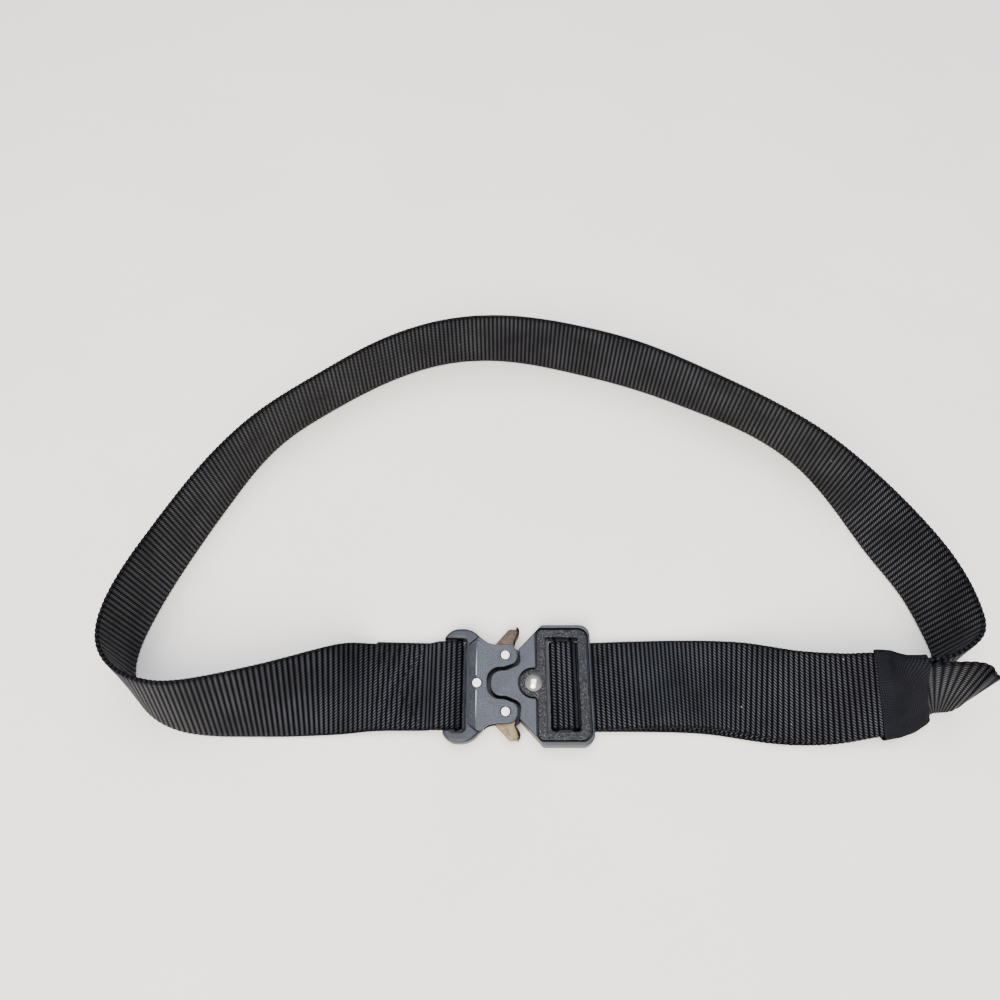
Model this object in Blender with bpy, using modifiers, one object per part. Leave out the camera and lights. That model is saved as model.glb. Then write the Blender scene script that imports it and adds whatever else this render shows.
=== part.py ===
"""Tactical belt, fastened and lying on a flat surface.

A 38 mm ribbed webbing strap runs from its sewn-back end round the left half of the buckle, stands on its
lower edge round the waist loop, passes through the adjuster in the buckle's right half and doubles back as
the tail, which an elastic keeper holds down. Sizes in the layout are millimetres: x to the right, y away
from the front strap's near edge, z up from the surface the belt lies on.
"""

from math import acos, asin, cos, degrees, pi, radians, sin

import bmesh
import bpy
import numpy as np
from mathutils import Matrix, Vector

MM = 0.001
BELT_ORIGIN = (17.4, 96.55, -0.1)  # middle of the belt's plan and its lowest thread, in the layout

# Webbing
WEB_WIDTH = 38.0
WEB_THICK = 2.0
GAP = 0.3
LAYER = WEB_THICK + GAP
STEP = 6.0  # distance between the strap's sections round the loop
COLUMNS = 5
FOLD_END_X, FOLD_END_Y = -55.0, 1.8  # the strap's end, under its own front layer
FOLD_FALL_X = (-25.6, -32.0)  # where the front layer comes down from the bar
TIP_RADIUS = 12.0

# Buckle, measured from its middle line
MIDDLE_Y = 19.6
FRAME_LOW, FRAME_HIGH = 1.0, 6.1
BASE_LOW, BASE_HIGH = 1.2, 2.3
COVER_LOW, COVER_HIGH = 6.4, 8.4
TONGUE_LOW, TONGUE_HIGH = 2.6, 8.2
LEVER_LOW, LEVER_HIGH = 2.8, 6.0
LIP_HIGH = 8.3
RIVET_RADIUS = 1.9
RIVET_LOW, RIVET_HIGH = 1.2, 8.6
RIVET_PLACES = {"rivet_latch": (-9.9, 0.0), "rivet_upper": (2.3, 12.1), "rivet_lower": (2.3, -12.1)}
HOLE_RADIUS = RIVET_RADIUS + GAP
CREASE_X = -10.2  # left of it the cover slopes down
COVER_SLOPE = 22.0
THROUGH = (-5.0, 20.0)  # heights that go past every plate

# Webbing bars: both are flat bars with round edges, which the strap wraps
BAR_THICK = 2.5
BAR_LOW = LAYER
BAR_MIDDLE_Z = BAR_LOW + BAR_THICK / 2
WRAP_RADIUS = BAR_THICK / 2 + GAP + WEB_THICK / 2
WRAP_LOW_Z = WEB_THICK / 2
WRAP_HIGH_Z = WRAP_LOW_Z + 2 * WRAP_RADIUS
LATCH_BAR_X = (-24.0, -18.2)
SLOT_X = (-21.0, -15.1)
SLOT_HALF = 19.8
ADJUSTER_BAR_X = (22.6, 29.1)
ADJUSTER_BAR_HALF = 21.8

# Adjuster: window, inset frame and the recess that holds it
WINDOW_X = (19.8, 33.8)
WINDOW_HALF = 20.1
LOBE_X, LOBE_RADIUS = 14.4, 6.0
INSET_LEFT_X, INSET_RIGHT_X, INSET_HALF = 15.9, 37.9, 23.7
INSET_LOW, INSET_HIGH = 5.9, 8.0
RECESS_LOW = 5.6
GROOVE = 0.6
CHANNEL_LEFT_X = 17.6
CHANNEL_HIGH = 2 * LAYER + 0.05
NOSE_RIGHT_X = 9.6  # left of it the tongue's nose is thinner than the body
BACK_RADIUS = 1.5  # bend where the tail levels out behind the bar
BALL_RADIUS = 3.7
BALL_HEIGHT = 2.0
SHANK_RADIUS = 1.5
SHANK_LOW = 2.6

# Round the waist: the strap's lower edge from the buckle's left half to its right half, seen from above.
# lean is the slope of the webbing's width, 0 lying flat towards the inside, 90 standing on its edge;
# lift is the height of its lowest corner.
#   x      y     lean  lift
LOOP = (
    (-33.0, 0.4, 0.0, LAYER),
    (-43.0, 0.4, 0.0, LAYER),
    (-55.0, 0.1, 2.0, LAYER),
    (-65.0, -0.6, 18.0, 0.8),
    (-77.0, -1.0, 37.0, 0.0),
    (-90.0, -1.3, 49.0, 0.0),
    (-104.0, -1.2, 58.0, 0.0),
    (-121.0, -0.8, 66.0, 0.0),
    (-139.0, 2.5, 73.0, 0.0),
    (-154.0, 12.5, 80.0, 0.0),
    (-161.0, 27.0, 88.0, 0.0),
    (-158.5, 48.0, 93.5, 0.0),
    (-148.0, 77.0, 93.0, 0.0),
    (-133.0, 110.0, 91.0, 0.0),
    (-112.0, 145.0, 84.0, 0.0),
    (-90.5, 164.0, 83.0, 0.0),
    (-61.5, 183.5, 85.0, 0.0),
    (-27.0, 197.0, 86.0, 0.0),
    (5.5, 198.0, 88.0, 0.0),
    (38.5, 190.5, 90.0, 0.0),
    (70.5, 180.0, 89.0, 0.0),
    (100.5, 166.5, 85.0, 0.0),
    (130.0, 150.0, 82.0, 0.0),
    (148.0, 134.0, 84.0, 0.0),
    (163.0, 109.5, 92.0, 0.0),
    (176.0, 80.0, 101.0, 0.0),
    (185.0, 62.5, 100.0, 0.0),
    (191.0, 42.0, 97.0, 0.0),
    (192.3, 34.0, 93.0, 0.0),
    (190.5, 25.0, 83.0, 0.5),
    (186.0, 15.5, 70.0, 1.3),
    (179.0, 7.0, 56.5, 1.8),
    (170.0, 1.0, 47.0, 1.9),
    (159.0, -1.7, 40.0, 1.9),
    (146.0, -4.0, 35.0, 1.0),
    (132.0, -5.0, 30.0, 0.1),
    (118.0, -4.7, 24.0, 0.0),
    (104.0, -3.0, 14.0, 0.0),
    (90.0, -0.9, 4.0, 0.0),
    (72.0, 0.2, 0.0, 0.0),
    (52.0, 0.4, 0.0, 0.0),
    (40.0, 0.4, 0.0, 0.0),
)

# The tail lies on the strap as far as the keeper, slipped a little towards the inside; the gap under it
# widens where both layers twist
#   x     slip  gap
TAIL_LAY = (
    (40.0, 0.2, 0.45),
    (100.0, 2.4, 0.45),
    (140.0, 2.2, 0.55),
    (160.0, 1.6, 0.85),
    (185.0, 0.8, 1.0),
)
TAIL_LEAVES_X = 184.0
# Past the keeper it stands free: lower edge, lean and lift as above
FREE_TAIL = (
    (188.0, 8.0, 74.0, 6.0),
    (192.4, 9.9, 82.0, 7.8),
    (195.6, 12.7, 88.0, 9.2),
)

# Keeper: where the strap's lower edge enters and leaves it, and how far its far edge runs ahead at each end
KEEPER_LEFT_X, KEEPER_RIGHT_X = 160.5, 178.0
KEEPER_SLANTS = (2.2, -1.5)
KEEPER_WALL = 1.2
KEEPER_ROOM = 0.85
KEEPER_FLARE = 1.1  # more room at the end where the tail springs away
KEEPER_SLACK = 0.8
KEEPER_SECTIONS = 8

# Half outlines of the flat pieces, mirrored about the buckle's middle line
#   x      y     corner radius
LUG = (
    (-24.8, 24.4, 4.6),
    (-12.4, 24.4, 4.0),
    (-6.6, 18.6, 2.0),
    (-6.6, 12.0, 0.5),
)
BASE = (
    (-14.0, 17.0, 0.5),
    (-9.2, 20.2, 1.0),
    (-4.5, 16.7, 6.0),
    (9.2, 16.6, 3.0),
    (9.2, 8.0, 3.0),
    (3.0, 6.0, 2.0),
)
COVER = (
    (-13.2, 16.9, 1.2),
    (-9.0, 20.3, 1.4),
    (-4.5, 17.0, 6.0),
    (7.5, 16.7, 4.2),
    (7.4, 8.9, 3.4),
    (1.6, 6.9, 3.0),
    (-5.6, 6.7, 5.6),
)
TONGUE = (
    (-4.1, 5.4, 4.8),
    (2.6, 5.6, 3.0),
    (8.9, 8.3, 3.0),
    (8.1, 14.9, 0.7),
    (18.2, 25.7, 1.6),
    (39.4, 25.7, 4.4),
)
# Upper release lever: flat arm round its pivot, and the curved thumb lip along its edge
LEVER_ARM = (
    (-0.9, 8.9, 3.0),
    (-1.2, 17.4, 1.0),
    (5.4, 24.2, 1.0),
    (8.2, 23.6, 0.8),
    (6.6, 18.4, 1.5),
    (5.6, 8.9, 3.0),
)
#   x     y
LEVER_LIP = (
    (6.2, 17.6),
    (6.6, 19.0),
    (7.5, 20.6),
    (8.2, 22.2),
    (8.1, 23.6),
    (7.3, 24.6),
)
LIP_THICK = 0.7


# Curves and outlines


def smooth_rows(rows, step):
    """Natural cubic through the rows, sampled about every step along the first two columns."""
    rows = np.array(rows, float)
    spans = np.hypot(*np.diff(rows[:, :2], axis=0).T)
    at = np.concatenate([[0.0], np.cumsum(spans)])
    count = len(rows)
    matrix, right = np.eye(count), np.zeros_like(rows)
    for i in range(1, count - 1):
        matrix[i, i - 1 : i + 2] = spans[i - 1], 2 * (spans[i - 1] + spans[i]), spans[i]
        right[i] = 6 * ((rows[i + 1] - rows[i]) / spans[i] - (rows[i] - rows[i - 1]) / spans[i - 1])
    bend = np.linalg.solve(matrix, right)
    wanted = np.linspace(0, at[-1], int(at[-1] / step) + 1)
    i = np.clip(np.searchsorted(at, wanted) - 1, 0, count - 2)
    h = spans[i][:, None]
    a, b = (at[i + 1] - wanted)[:, None], (wanted - at[i])[:, None]
    cubic = (bend[i] * a**3 + bend[i + 1] * b**3) / (6 * h)
    return cubic + (rows[i] / h - bend[i] * h / 6) * a + (rows[i + 1] / h - bend[i + 1] * h / 6) * b


def rounded(corners, per_turn=24):
    """Closed outline through corners (x, y, radius), each rounded by an arc."""
    outline = []
    for i, (x, y, radius) in enumerate(corners):
        here = Vector((x, y))
        back = (Vector(corners[i - 1][:2]) - here).normalized()
        on = (Vector(corners[(i + 1) % len(corners)][:2]) - here).normalized()
        half = acos(max(-1.0, min(1.0, back.dot(on)))) / 2
        if radius <= 0 or half > pi / 2 - 0.02:
            outline.append(here)
            continue
        centre = here + (back + on).normalized() * radius / sin(half)
        start = here + back * radius / (sin(half) / cos(half)) - centre
        turn = pi - 2 * half
        sign = 1 if back.cross(on) < 0 else -1
        steps = max(2, round(per_turn * turn / (2 * pi)))
        for k in range(steps + 1):
            outline.append(centre + Matrix.Rotation(sign * turn * k / steps, 2) @ start)
    return outline


def mirrored(half):
    """Whole outline from its upper half, which runs from the left end to the right end."""
    return list(half) + [(x, -y, radius) for x, y, radius in reversed(half)]


def circle(x, y, radius, sides=20):
    """Points of a circle."""
    turns = [2 * pi * k / sides for k in range(sides)]
    return [Vector((x + radius * cos(t), y + radius * sin(t))) for t in turns]


def rectangle(x_range, half, radius):
    """Rounded rectangle about the buckle's middle line."""
    return rounded([(x_range[0], half, radius), (x_range[1], half, radius),
                    (x_range[1], -half, radius), (x_range[0], -half, radius)])


def strip(points, thick):
    """Outline of a thin strip along a smooth line."""
    line = smooth_rows([(*point, 0.0) for point in points], 0.8)[:, :2]
    along = np.gradient(line, axis=0)
    along /= np.linalg.norm(along, axis=1)[:, None]
    side = np.stack([-along[:, 1], along[:, 0]], axis=1) * thick / 2
    return [Vector(p) for p in np.concatenate([line + side, (line - side)[::-1]])]


# Objects


def clear_scene():
    """Removes what the scene holds."""
    for obj in list(bpy.data.objects):
        bpy.data.objects.remove(obj, do_unlink=True)


def collection(name):
    """A new collection in the scene."""
    made = bpy.data.collections.new(name)
    bpy.context.scene.collection.children.link(made)
    return made


def material(name, colour, roughness, metallic=0.0):
    """A Principled material of one colour."""
    made = bpy.data.materials.new(name)
    made.use_nodes = True
    shader = made.node_tree.nodes["Principled BSDF"]
    shader.inputs["Base Color"].default_value = (*colour, 1.0)
    shader.inputs["Roughness"].default_value = roughness
    shader.inputs["Metallic"].default_value = metallic
    return made


def place(x, y, z):
    """Layout millimetres to the part's metres."""
    return (Vector((x, y, z)) - Vector(BELT_ORIGIN)) * MM


def add_object(name, mesh, group):
    """Links a mesh as an object of its own."""
    obj = bpy.data.objects.new(name, mesh)
    group.objects.link(obj)
    return obj


def finish(obj, finish_of, sharp=35.0):
    """Gives an object its material and smooth shading with sharp corners."""
    obj.data.materials.clear()
    obj.data.materials.append(finish_of)
    obj.data.shade_smooth()
    obj.data.set_sharp_from_angle(angle=radians(sharp))
    return obj


def wound(outline, clockwise):
    """The outline running the way asked for."""
    area = sum(a.cross(b) for a, b in zip(outline, outline[1:] + outline[:1]))
    return outline[::-1] if (area < 0) != clockwise else outline


def plate(name, outlines, low, high, group, edge=0.0):
    """Flat piece between two heights: the first outline filled, the others holes, its edges rounded."""
    curve = bpy.data.curves.new(name, "CURVE")
    curve.dimensions = "2D"
    curve.fill_mode = "BOTH"
    curve.extrude = ((high - low) / 2 - edge) * MM
    curve.bevel_depth = edge * MM
    curve.bevel_resolution = 0
    curve.offset = -edge * MM
    for i, outline in enumerate(outlines):
        spline = curve.splines.new("POLY")
        spline.points.add(len(outline) - 1)
        for point, (x, y) in zip(spline.points, wound(outline, i > 0)):
            point.co = (x * MM, y * MM, 0, 1)
        spline.use_cyclic_u = True
    drawn = add_object(name + "_outline", curve, group)
    drawn.location = place(0, MIDDLE_Y, (low + high) / 2)
    bpy.context.view_layer.update()
    seen = drawn.evaluated_get(bpy.context.evaluated_depsgraph_get())
    mesh = bpy.data.meshes.new_from_object(seen)
    welded = bmesh.new()
    welded.from_mesh(mesh)
    bmesh.ops.remove_doubles(welded, verts=welded.verts, dist=1e-6)
    bmesh.ops.recalc_face_normals(welded, faces=welded.faces)
    welded.to_mesh(mesh)
    welded.free()
    made = add_object(name, mesh, group)
    made.matrix_world = drawn.matrix_world
    bpy.data.objects.remove(drawn, do_unlink=True)
    return made


def block(name, low, high, group):
    """Box between two corners, y from the buckle's middle line."""
    shape = bmesh.new()
    bmesh.ops.create_cube(shape, size=1.0)
    size = [(b - a) * MM for a, b in zip(low, high)]
    bmesh.ops.scale(shape, vec=size, verts=shape.verts)
    mesh = bpy.data.meshes.new(name)
    shape.to_mesh(mesh)
    shape.free()
    made = add_object(name, mesh, group)
    x, y, z = [(a + b) / 2 for a, b in zip(low, high)]
    made.location = place(x, MIDDLE_Y + y, z)
    return made


def combine(obj, others, operation="DIFFERENCE"):
    """Cuts the others from an object, or joins them to it."""
    for other in others:
        other.hide_render = True
        other.display_type = "WIRE"
        change = obj.modifiers.new(other.name, "BOOLEAN")
        change.operation = operation
        change.solver = "EXACT"
        change.object = other
    return obj


# Strap


def sections_of(rows):
    """Lower and upper edge of the webbing at each row (x, y, lean, lift) of a path round the waist."""
    rows = np.array(rows, float)
    along = np.gradient(rows[:, :2], axis=0)
    along /= np.linalg.norm(along, axis=1)[:, None]
    lean = np.radians(rows[:, 2])
    inward = np.stack([along[:, 1], -along[:, 0], np.zeros(len(rows))], axis=1)
    width = inward * np.cos(lean)[:, None] + np.array([0.0, 0.0, 1.0]) * np.sin(lean)[:, None]
    low = np.column_stack([rows[:, :2], rows[:, 3] + WEB_THICK / 2 * np.abs(np.cos(lean))])
    return low, low + width * WEB_WIDTH


def outward(low, high):
    """Normal of the webbing's outer face along both of its edges."""
    width = high - low
    normals = [np.cross(width, np.gradient(edge, axis=0)) for edge in (low, high)]
    return [normal / np.linalg.norm(normal, axis=1)[:, None] for normal in normals]


def arc(centre_x, centre_z, radius, start, end, steps):
    """Points (x, z) along an arc, its angles in degrees from +x."""
    angles = np.radians(np.linspace(start, end, steps + 1))
    return [(centre_x + radius * cos(a), centre_z + radius * sin(a)) for a in angles]


def sewn_back_end():
    """Path (x, z) of the strap's fold: from its end, round the latch bar, down onto its own lower layer."""
    wrap_x = LATCH_BAR_X[1] - BAR_THICK / 2
    lower = [(x, WRAP_LOW_Z) for x in np.linspace(FOLD_END_X, wrap_x, 4)[:-1]]
    wrap = arc(wrap_x, BAR_MIDDLE_Z, WRAP_RADIUS, -90, 90, 12)
    drop = WRAP_HIGH_Z - (WRAP_LOW_Z + LAYER)
    start_x, end_x = FOLD_FALL_X
    fall = [(start_x + (end_x - start_x) * part, WRAP_HIGH_Z - drop * (1 - cos(pi * part)) / 2)
            for part in np.linspace(0, 1, 7)]
    return lower + wrap + fall


def adjuster_pass():
    """Path (x, z) of the strap through the adjuster: under the bar, over it, and out again as the tail."""
    left_x = ADJUSTER_BAR_X[0] + BAR_THICK / 2
    right_x = ADJUSTER_BAR_X[1] - BAR_THICK / 2
    under = [(WINDOW_X[1], WRAP_LOW_Z)]
    wrap = arc(left_x, BAR_MIDDLE_Z, WRAP_RADIUS, -90, -270, 12)
    tail_z = WRAP_LOW_Z + WEB_THICK + TAIL_LAY[0][2]
    turn = acos(1 - (WRAP_HIGH_Z - tail_z) / (WRAP_RADIUS + BACK_RADIUS))
    down = arc(right_x, BAR_MIDDLE_Z, WRAP_RADIUS, 90, 90 - degrees(turn), 6)
    level_x = right_x + (WRAP_RADIUS + BACK_RADIUS) * sin(turn)
    out = arc(level_x, tail_z + BACK_RADIUS, BACK_RADIUS, -90 - degrees(turn), -90, 5)
    return under + wrap + down + out[1:]


def flat_sections(path, y_from, y_to):
    """Edges of the webbing along a path (x, z), its width level and its near edge sliding from y to y."""
    x, z = np.array(path).T
    travelled = np.concatenate([[0.0], np.cumsum(np.hypot(np.diff(x), np.diff(z)))])
    low = np.column_stack([x, y_from + (y_to - y_from) * travelled / travelled[-1], z])
    return low, low + np.array([0.0, WEB_WIDTH, 0.0])


def tail_sections():
    """Edges of the tail: on top of the strap from the adjuster to the keeper, then free."""
    rows = smooth_rows(LOOP, STEP)
    low, high = sections_of(rows)
    low_normal, high_normal = outward(low, high)
    across = (high - low) / WEB_WIDTH
    lay_x, slips, gaps = np.array(TAIL_LAY).T
    slip = np.interp(rows[:, 0], lay_x, slips)[:, None]
    above = np.interp(rows[:, 0], lay_x, gaps)[:, None] + WEB_THICK
    low_on = low + low_normal * above + across * slip
    high_on = high + high_normal * above + across * slip
    held = (rows[:, 0] > WINDOW_X[1]) & (rows[:, 0] < TAIL_LEAVES_X) & (rows[:, 1] < MIDDLE_Y)
    held_edges = np.column_stack([low_on, high_on])[held][::-1]
    free_low, free_high = sections_of([*reversed(FREE_TAIL), rows[held][0]])
    free_edges = np.column_stack([free_low, free_high])[:-1][::-1]
    edges = smooth_rows(np.concatenate([held_edges, free_edges]), STEP)
    return edges[:, :3], edges[:, 3:]


def strap_sections():
    """Both edges of the whole strap, from its sewn-back end to its tip."""
    fold = flat_sections(sewn_back_end(), FOLD_END_Y, LOOP[0][1])
    loop = sections_of(smooth_rows(LOOP, STEP))
    tail = tail_sections()
    passed = flat_sections(adjuster_pass(), LOOP[-1][1], tail[0][0, 1])
    return [np.concatenate(edges) for edges in zip(fold, loop, passed, tail)]


def tip_trim(low):
    """How much of the far corner is cut at each section, rounding the strap's tip."""
    steps = np.linalg.norm(np.diff(low, axis=0), axis=1)
    to_end = np.concatenate([np.cumsum(steps[::-1])[::-1], [0.0]])
    inside = np.clip(TIP_RADIUS - to_end, 0, TIP_RADIUS)
    return TIP_RADIUS - np.sqrt(TIP_RADIUS**2 - inside**2)


def sheet(name, grid, closed, group):
    """Open surface through a grid of layout points, closed round its second direction or not."""
    rows, columns = len(grid), len(grid[0])
    shape = bmesh.new()
    verts = [[shape.verts.new(place(*point)) for point in row] for row in grid]
    for i in range(rows - 1):
        for j in range(columns if closed else columns - 1):
            k = (j + 1) % columns
            shape.faces.new((verts[i][j], verts[i + 1][j], verts[i + 1][k], verts[i][k]))
    mesh = bpy.data.meshes.new(name)
    shape.to_mesh(mesh)
    shape.free()
    return add_object(name, mesh, group)


def thicken(obj, thick, offset):
    """Turns a surface into a wall."""
    wall = obj.modifiers.new("wall", "SOLIDIFY")
    wall.thickness = thick * MM
    wall.offset = offset
    wall.use_even_offset = True
    return obj


def make_strap(group, finish_of):
    """The webbing, one length from its sewn-back end to its tip."""
    low, high = strap_sections()
    left_over = 1 - tip_trim(low) / WEB_WIDTH
    grid = [[a + (b - a) * share * left for share in np.linspace(0, 1, COLUMNS)]
            for a, b, left in zip(low, high, left_over)]
    return finish(thicken(sheet("strap", grid, False, group), WEB_THICK, 0.0), finish_of)


def keeper_ring(room, low, high, low_normal, high_normal):
    """Outer section of the keeper round both layers, as points with their share of the strap's width."""
    deep = 2 * WEB_THICK + TAIL_LAY[-1][2]
    half_deep = deep / 2 + room + KEEPER_WALL
    half_wide = WEB_WIDTH / 2 + KEEPER_SLACK + KEEPER_ROOM + KEEPER_WALL
    across = (high - low) / WEB_WIDTH
    outer = [(half_wide * k / 2, half_deep, 3.0 if abs(k) == 2 else 0.0) for k in (-2, -1, 0, 1, 2)]
    section = rounded(outer + [(-a, -b, radius) for a, b, radius in outer], 12)
    ring = []
    for a, b in section:
        share = (a / half_wide + 1) / 2
        normal = low_normal * (1 - share) + high_normal * share
        point = low + across * (WEB_WIDTH / 2 + KEEPER_SLACK + a) + normal * ((deep - WEB_THICK) / 2 + b)
        ring.append((point, share))
    return ring


def make_keeper(group, finish_of):
    """Elastic loop round the strap and its tail."""
    low, high = sections_of(smooth_rows(LOOP, STEP))
    front = (low[:, 1] < MIDDLE_Y) & (low[:, 0] > 0)
    known = np.column_stack([low, high, *outward(low, high)])[front][::-1]
    grid = []
    for part in np.linspace(0, 1, KEEPER_SECTIONS):
        rings = []
        for left_ahead, right_ahead in ((0.0, 0.0), KEEPER_SLANTS):
            left, right = KEEPER_LEFT_X - left_ahead, KEEPER_RIGHT_X - right_ahead
            x = left + (right - left) * part
            at_x = np.array([np.interp(x, known[:, 0], column) for column in known.T])
            rings.append(keeper_ring(KEEPER_ROOM + KEEPER_FLARE * part**2, *at_x.reshape(4, 3)))
        grid.append([a * (1 - share) + b * share for (a, share), (b, _) in zip(*rings)])
    return finish(thicken(sheet("keeper", grid, True, group), KEEPER_WALL, -1.0), finish_of)


# Buckle


def round_bar(name, x_range, half, group):
    """Flat bar with round edges lying across the buckle."""
    radius, half_x = BAR_THICK / 2, (x_range[1] - x_range[0]) / 2
    corner = radius - 0.02
    section = rounded([(-half_x, radius, corner), (half_x, radius, corner),
                       (half_x, -radius, corner), (-half_x, -radius, corner)], 16)
    bar = plate(name, [section], -half, half, group)
    bar.rotation_euler = (radians(90), 0, 0)
    bar.location = place(sum(x_range) / 2, MIDDLE_Y, BAR_MIDDLE_Z)
    return bar


def make_latch_frame(group, cutters, finish_of):
    """Left half: two lugs joined by the webbing bar, the slot, and the base plate under the levers."""
    slot = rectangle(SLOT_X, SLOT_HALF, 1.4)
    frame = plate("latch_frame", [rounded(mirrored(LUG)), slot], FRAME_LOW, FRAME_HIGH, group, 0.8)
    half, past = SLOT_HALF + 0.2, 2.0
    low, high = THROUGH
    opened = block("bar_room", (LATCH_BAR_X[0] - past, -half, low), (SLOT_X[0] + past, half, high), cutters)
    bar = round_bar("latch_bar", LATCH_BAR_X, SLOT_HALF + 1.2, cutters)
    base = plate("base", [rounded(mirrored(BASE))], BASE_LOW, BASE_HIGH, cutters)
    combine(frame, [opened])
    combine(frame, [bar, base], "UNION")
    holes = [plate(name + "_hole", [circle(*at, HOLE_RADIUS)], *THROUGH, cutters)
             for name, at in RIVET_PLACES.items()]
    return finish(combine(frame, holes), finish_of)


def make_latch_cover(group, cutters, finish_of):
    """Left half's top plate: the notch for the tongue's nose, rivet holes and a sloped left edge."""
    holes = [circle(x, y, HOLE_RADIUS) for x, y in RIVET_PLACES.values()]
    cover = plate("latch_cover", [rounded(mirrored(COVER)), *holes], COVER_LOW, COVER_HIGH, group, 0.3)
    half = 3.0
    slope = block("cover_slope", (-half, -SLOT_HALF, -half), (half, SLOT_HALF, half), cutters)
    slope.data.transform(Matrix.Translation((-half * MM, 0, half * MM)))
    slope.location = place(CREASE_X, MIDDLE_Y, COVER_HIGH)
    slope.rotation_euler = (0, -radians(COVER_SLOPE), 0)
    return finish(combine(cover, [slope]), finish_of)


def make_rivet(name, group, finish_of):
    """Flush rivet through the latch's plates."""
    x, y = RIVET_PLACES[name]
    rivet = plate(name, [circle(0, 0, RIVET_RADIUS)], RIVET_LOW, RIVET_HIGH, group, 0.2)
    rivet.location += Vector((x * MM, y * MM, 0))
    return finish(rivet, finish_of)


def make_lever(name, side, group, cutters, finish_of):
    """Release lever on its rivet, its origin on the pivot; side is 1 for the upper, -1 for the lower."""
    pivot_x, pivot_y = RIVET_PLACES["rivet_upper"]
    about = [(x - pivot_x, y - pivot_y, r) for x, y, r in LEVER_ARM]
    lip_line = [(x - pivot_x, y - pivot_y) for x, y in LEVER_LIP]
    hole = circle(0, 0, HOLE_RADIUS)
    lever = plate(name, [rounded(about), hole], LEVER_LOW, LEVER_HIGH, group, 0.25)
    lip = plate(name + "_lip", [strip(lip_line, LIP_THICK)], LEVER_LOW, LIP_HIGH, cutters)
    lip.location = lever.location
    lip.location.z += (LIP_HIGH - LEVER_HIGH) / 2 * MM
    combine(lever, [lip], "UNION")
    for obj in (lever, lip):
        obj.data.transform(Matrix.Diagonal((1, side, 1, 1)))
        if side < 0:
            obj.data.flip_normals()
        obj.location += Vector((pivot_x * MM, side * pivot_y * MM, 0))
    return finish(lever, finish_of)


def inset_outline(grow):
    """Outline of the inset frame with its round lobe, grown all round by a width."""
    left, right, top = INSET_LEFT_X - grow, INSET_RIGHT_X + grow, INSET_HALF + grow
    lobe = LOBE_RADIUS + grow
    half = ((LOBE_X - lobe, lobe, lobe - 0.1), (left, lobe, 1.4 - grow), (left, top, 2.6 + grow),
            (right, top, 3.6 + grow))
    return rounded(mirrored(half))


def make_tongue_body(group, cutters, finish_of):
    """Right half: rounded nose, flared shoulders, the recess for the inset frame and the webbing channel."""
    body = plate("tongue_body", [rounded(mirrored(TONGUE)), circle(LOBE_X, 0, SHANK_RADIUS + GAP)],
                 FRAME_LOW, TONGUE_HIGH, group, 0.5)
    left_end, right_end, half = -LOBE_X, 2 * INSET_RIGHT_X, WINDOW_HALF + GAP
    below, above = THROUGH
    opening = rectangle((WINDOW_X[0] - GAP, WINDOW_X[1] + GAP), half, 1.2)
    window = plate("window", [opening], below, above, cutters)
    recess = plate("recess", [inset_outline(GROOVE)], RECESS_LOW, above, cutters)
    channel = block("channel", (CHANNEL_LEFT_X, -half, below), (right_end, half, CHANNEL_HIGH), cutters)
    nose_room = block("nose_room", (left_end, -2 * half, below), (NOSE_RIGHT_X, 2 * half, TONGUE_LOW),
                      cutters)
    left, right = ADJUSTER_BAR_X
    seat_half = ADJUSTER_BAR_HALF + GAP
    seats = block("bar_seats", (left - GAP, -seat_half, BAR_LOW - GAP),
                  (right + GAP, seat_half, BAR_LOW + BAR_THICK + GAP), cutters)
    return finish(combine(body, [window, recess, channel, nose_room, seats]), finish_of)


def make_adjuster_frame(group, finish_of):
    """Inset frame round the webbing window, with the stud's round lobe."""
    holes = [rectangle(WINDOW_X, WINDOW_HALF, 1.0), circle(LOBE_X, 0, SHANK_RADIUS + GAP)]
    inset = plate("adjuster_frame", [inset_outline(0.0), *holes], INSET_LOW, INSET_HIGH, group, 0.4)
    return finish(inset, finish_of)


def make_adjuster_bar(group, finish_of):
    """Bar that the strap turns over, lying across the window."""
    return finish(round_bar("adjuster_bar", ADJUSTER_BAR_X, ADJUSTER_BAR_HALF, group), finish_of)


def make_ball_stud(group, finish_of):
    """Domed stud: a turned profile, its shank through the lobe."""
    seat = INSET_HIGH + GAP
    round_radius = (BALL_RADIUS**2 + BALL_HEIGHT**2) / (2 * BALL_HEIGHT)
    slopes = np.linspace(0, asin(BALL_RADIUS / round_radius), 7)
    dome = [(round_radius * sin(a), seat + BALL_HEIGHT - round_radius * (1 - cos(a))) for a in slopes]
    shank = [(SHANK_RADIUS, seat), (SHANK_RADIUS, SHANK_LOW), (0.0, SHANK_LOW)]
    profile = [(0.0, seat + BALL_HEIGHT), *dome[1:], *shank]
    shape = bmesh.new()
    verts = [shape.verts.new((x * MM, 0, z * MM)) for x, z in profile]
    for a, b in zip(verts, verts[1:]):
        shape.edges.new((a, b))
    mesh = bpy.data.meshes.new("ball_stud")
    shape.to_mesh(mesh)
    shape.free()
    stud = add_object("ball_stud", mesh, group)
    stud.location = place(LOBE_X, MIDDLE_Y, 0)
    turned = stud.modifiers.new("turned", "SCREW")
    turned.steps = turned.render_steps = 20
    turned.use_merge_vertices = True
    turned.merge_threshold = 0.00001
    turned.use_smooth_shade = True
    stud.data.materials.append(finish_of)
    return stud


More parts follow.
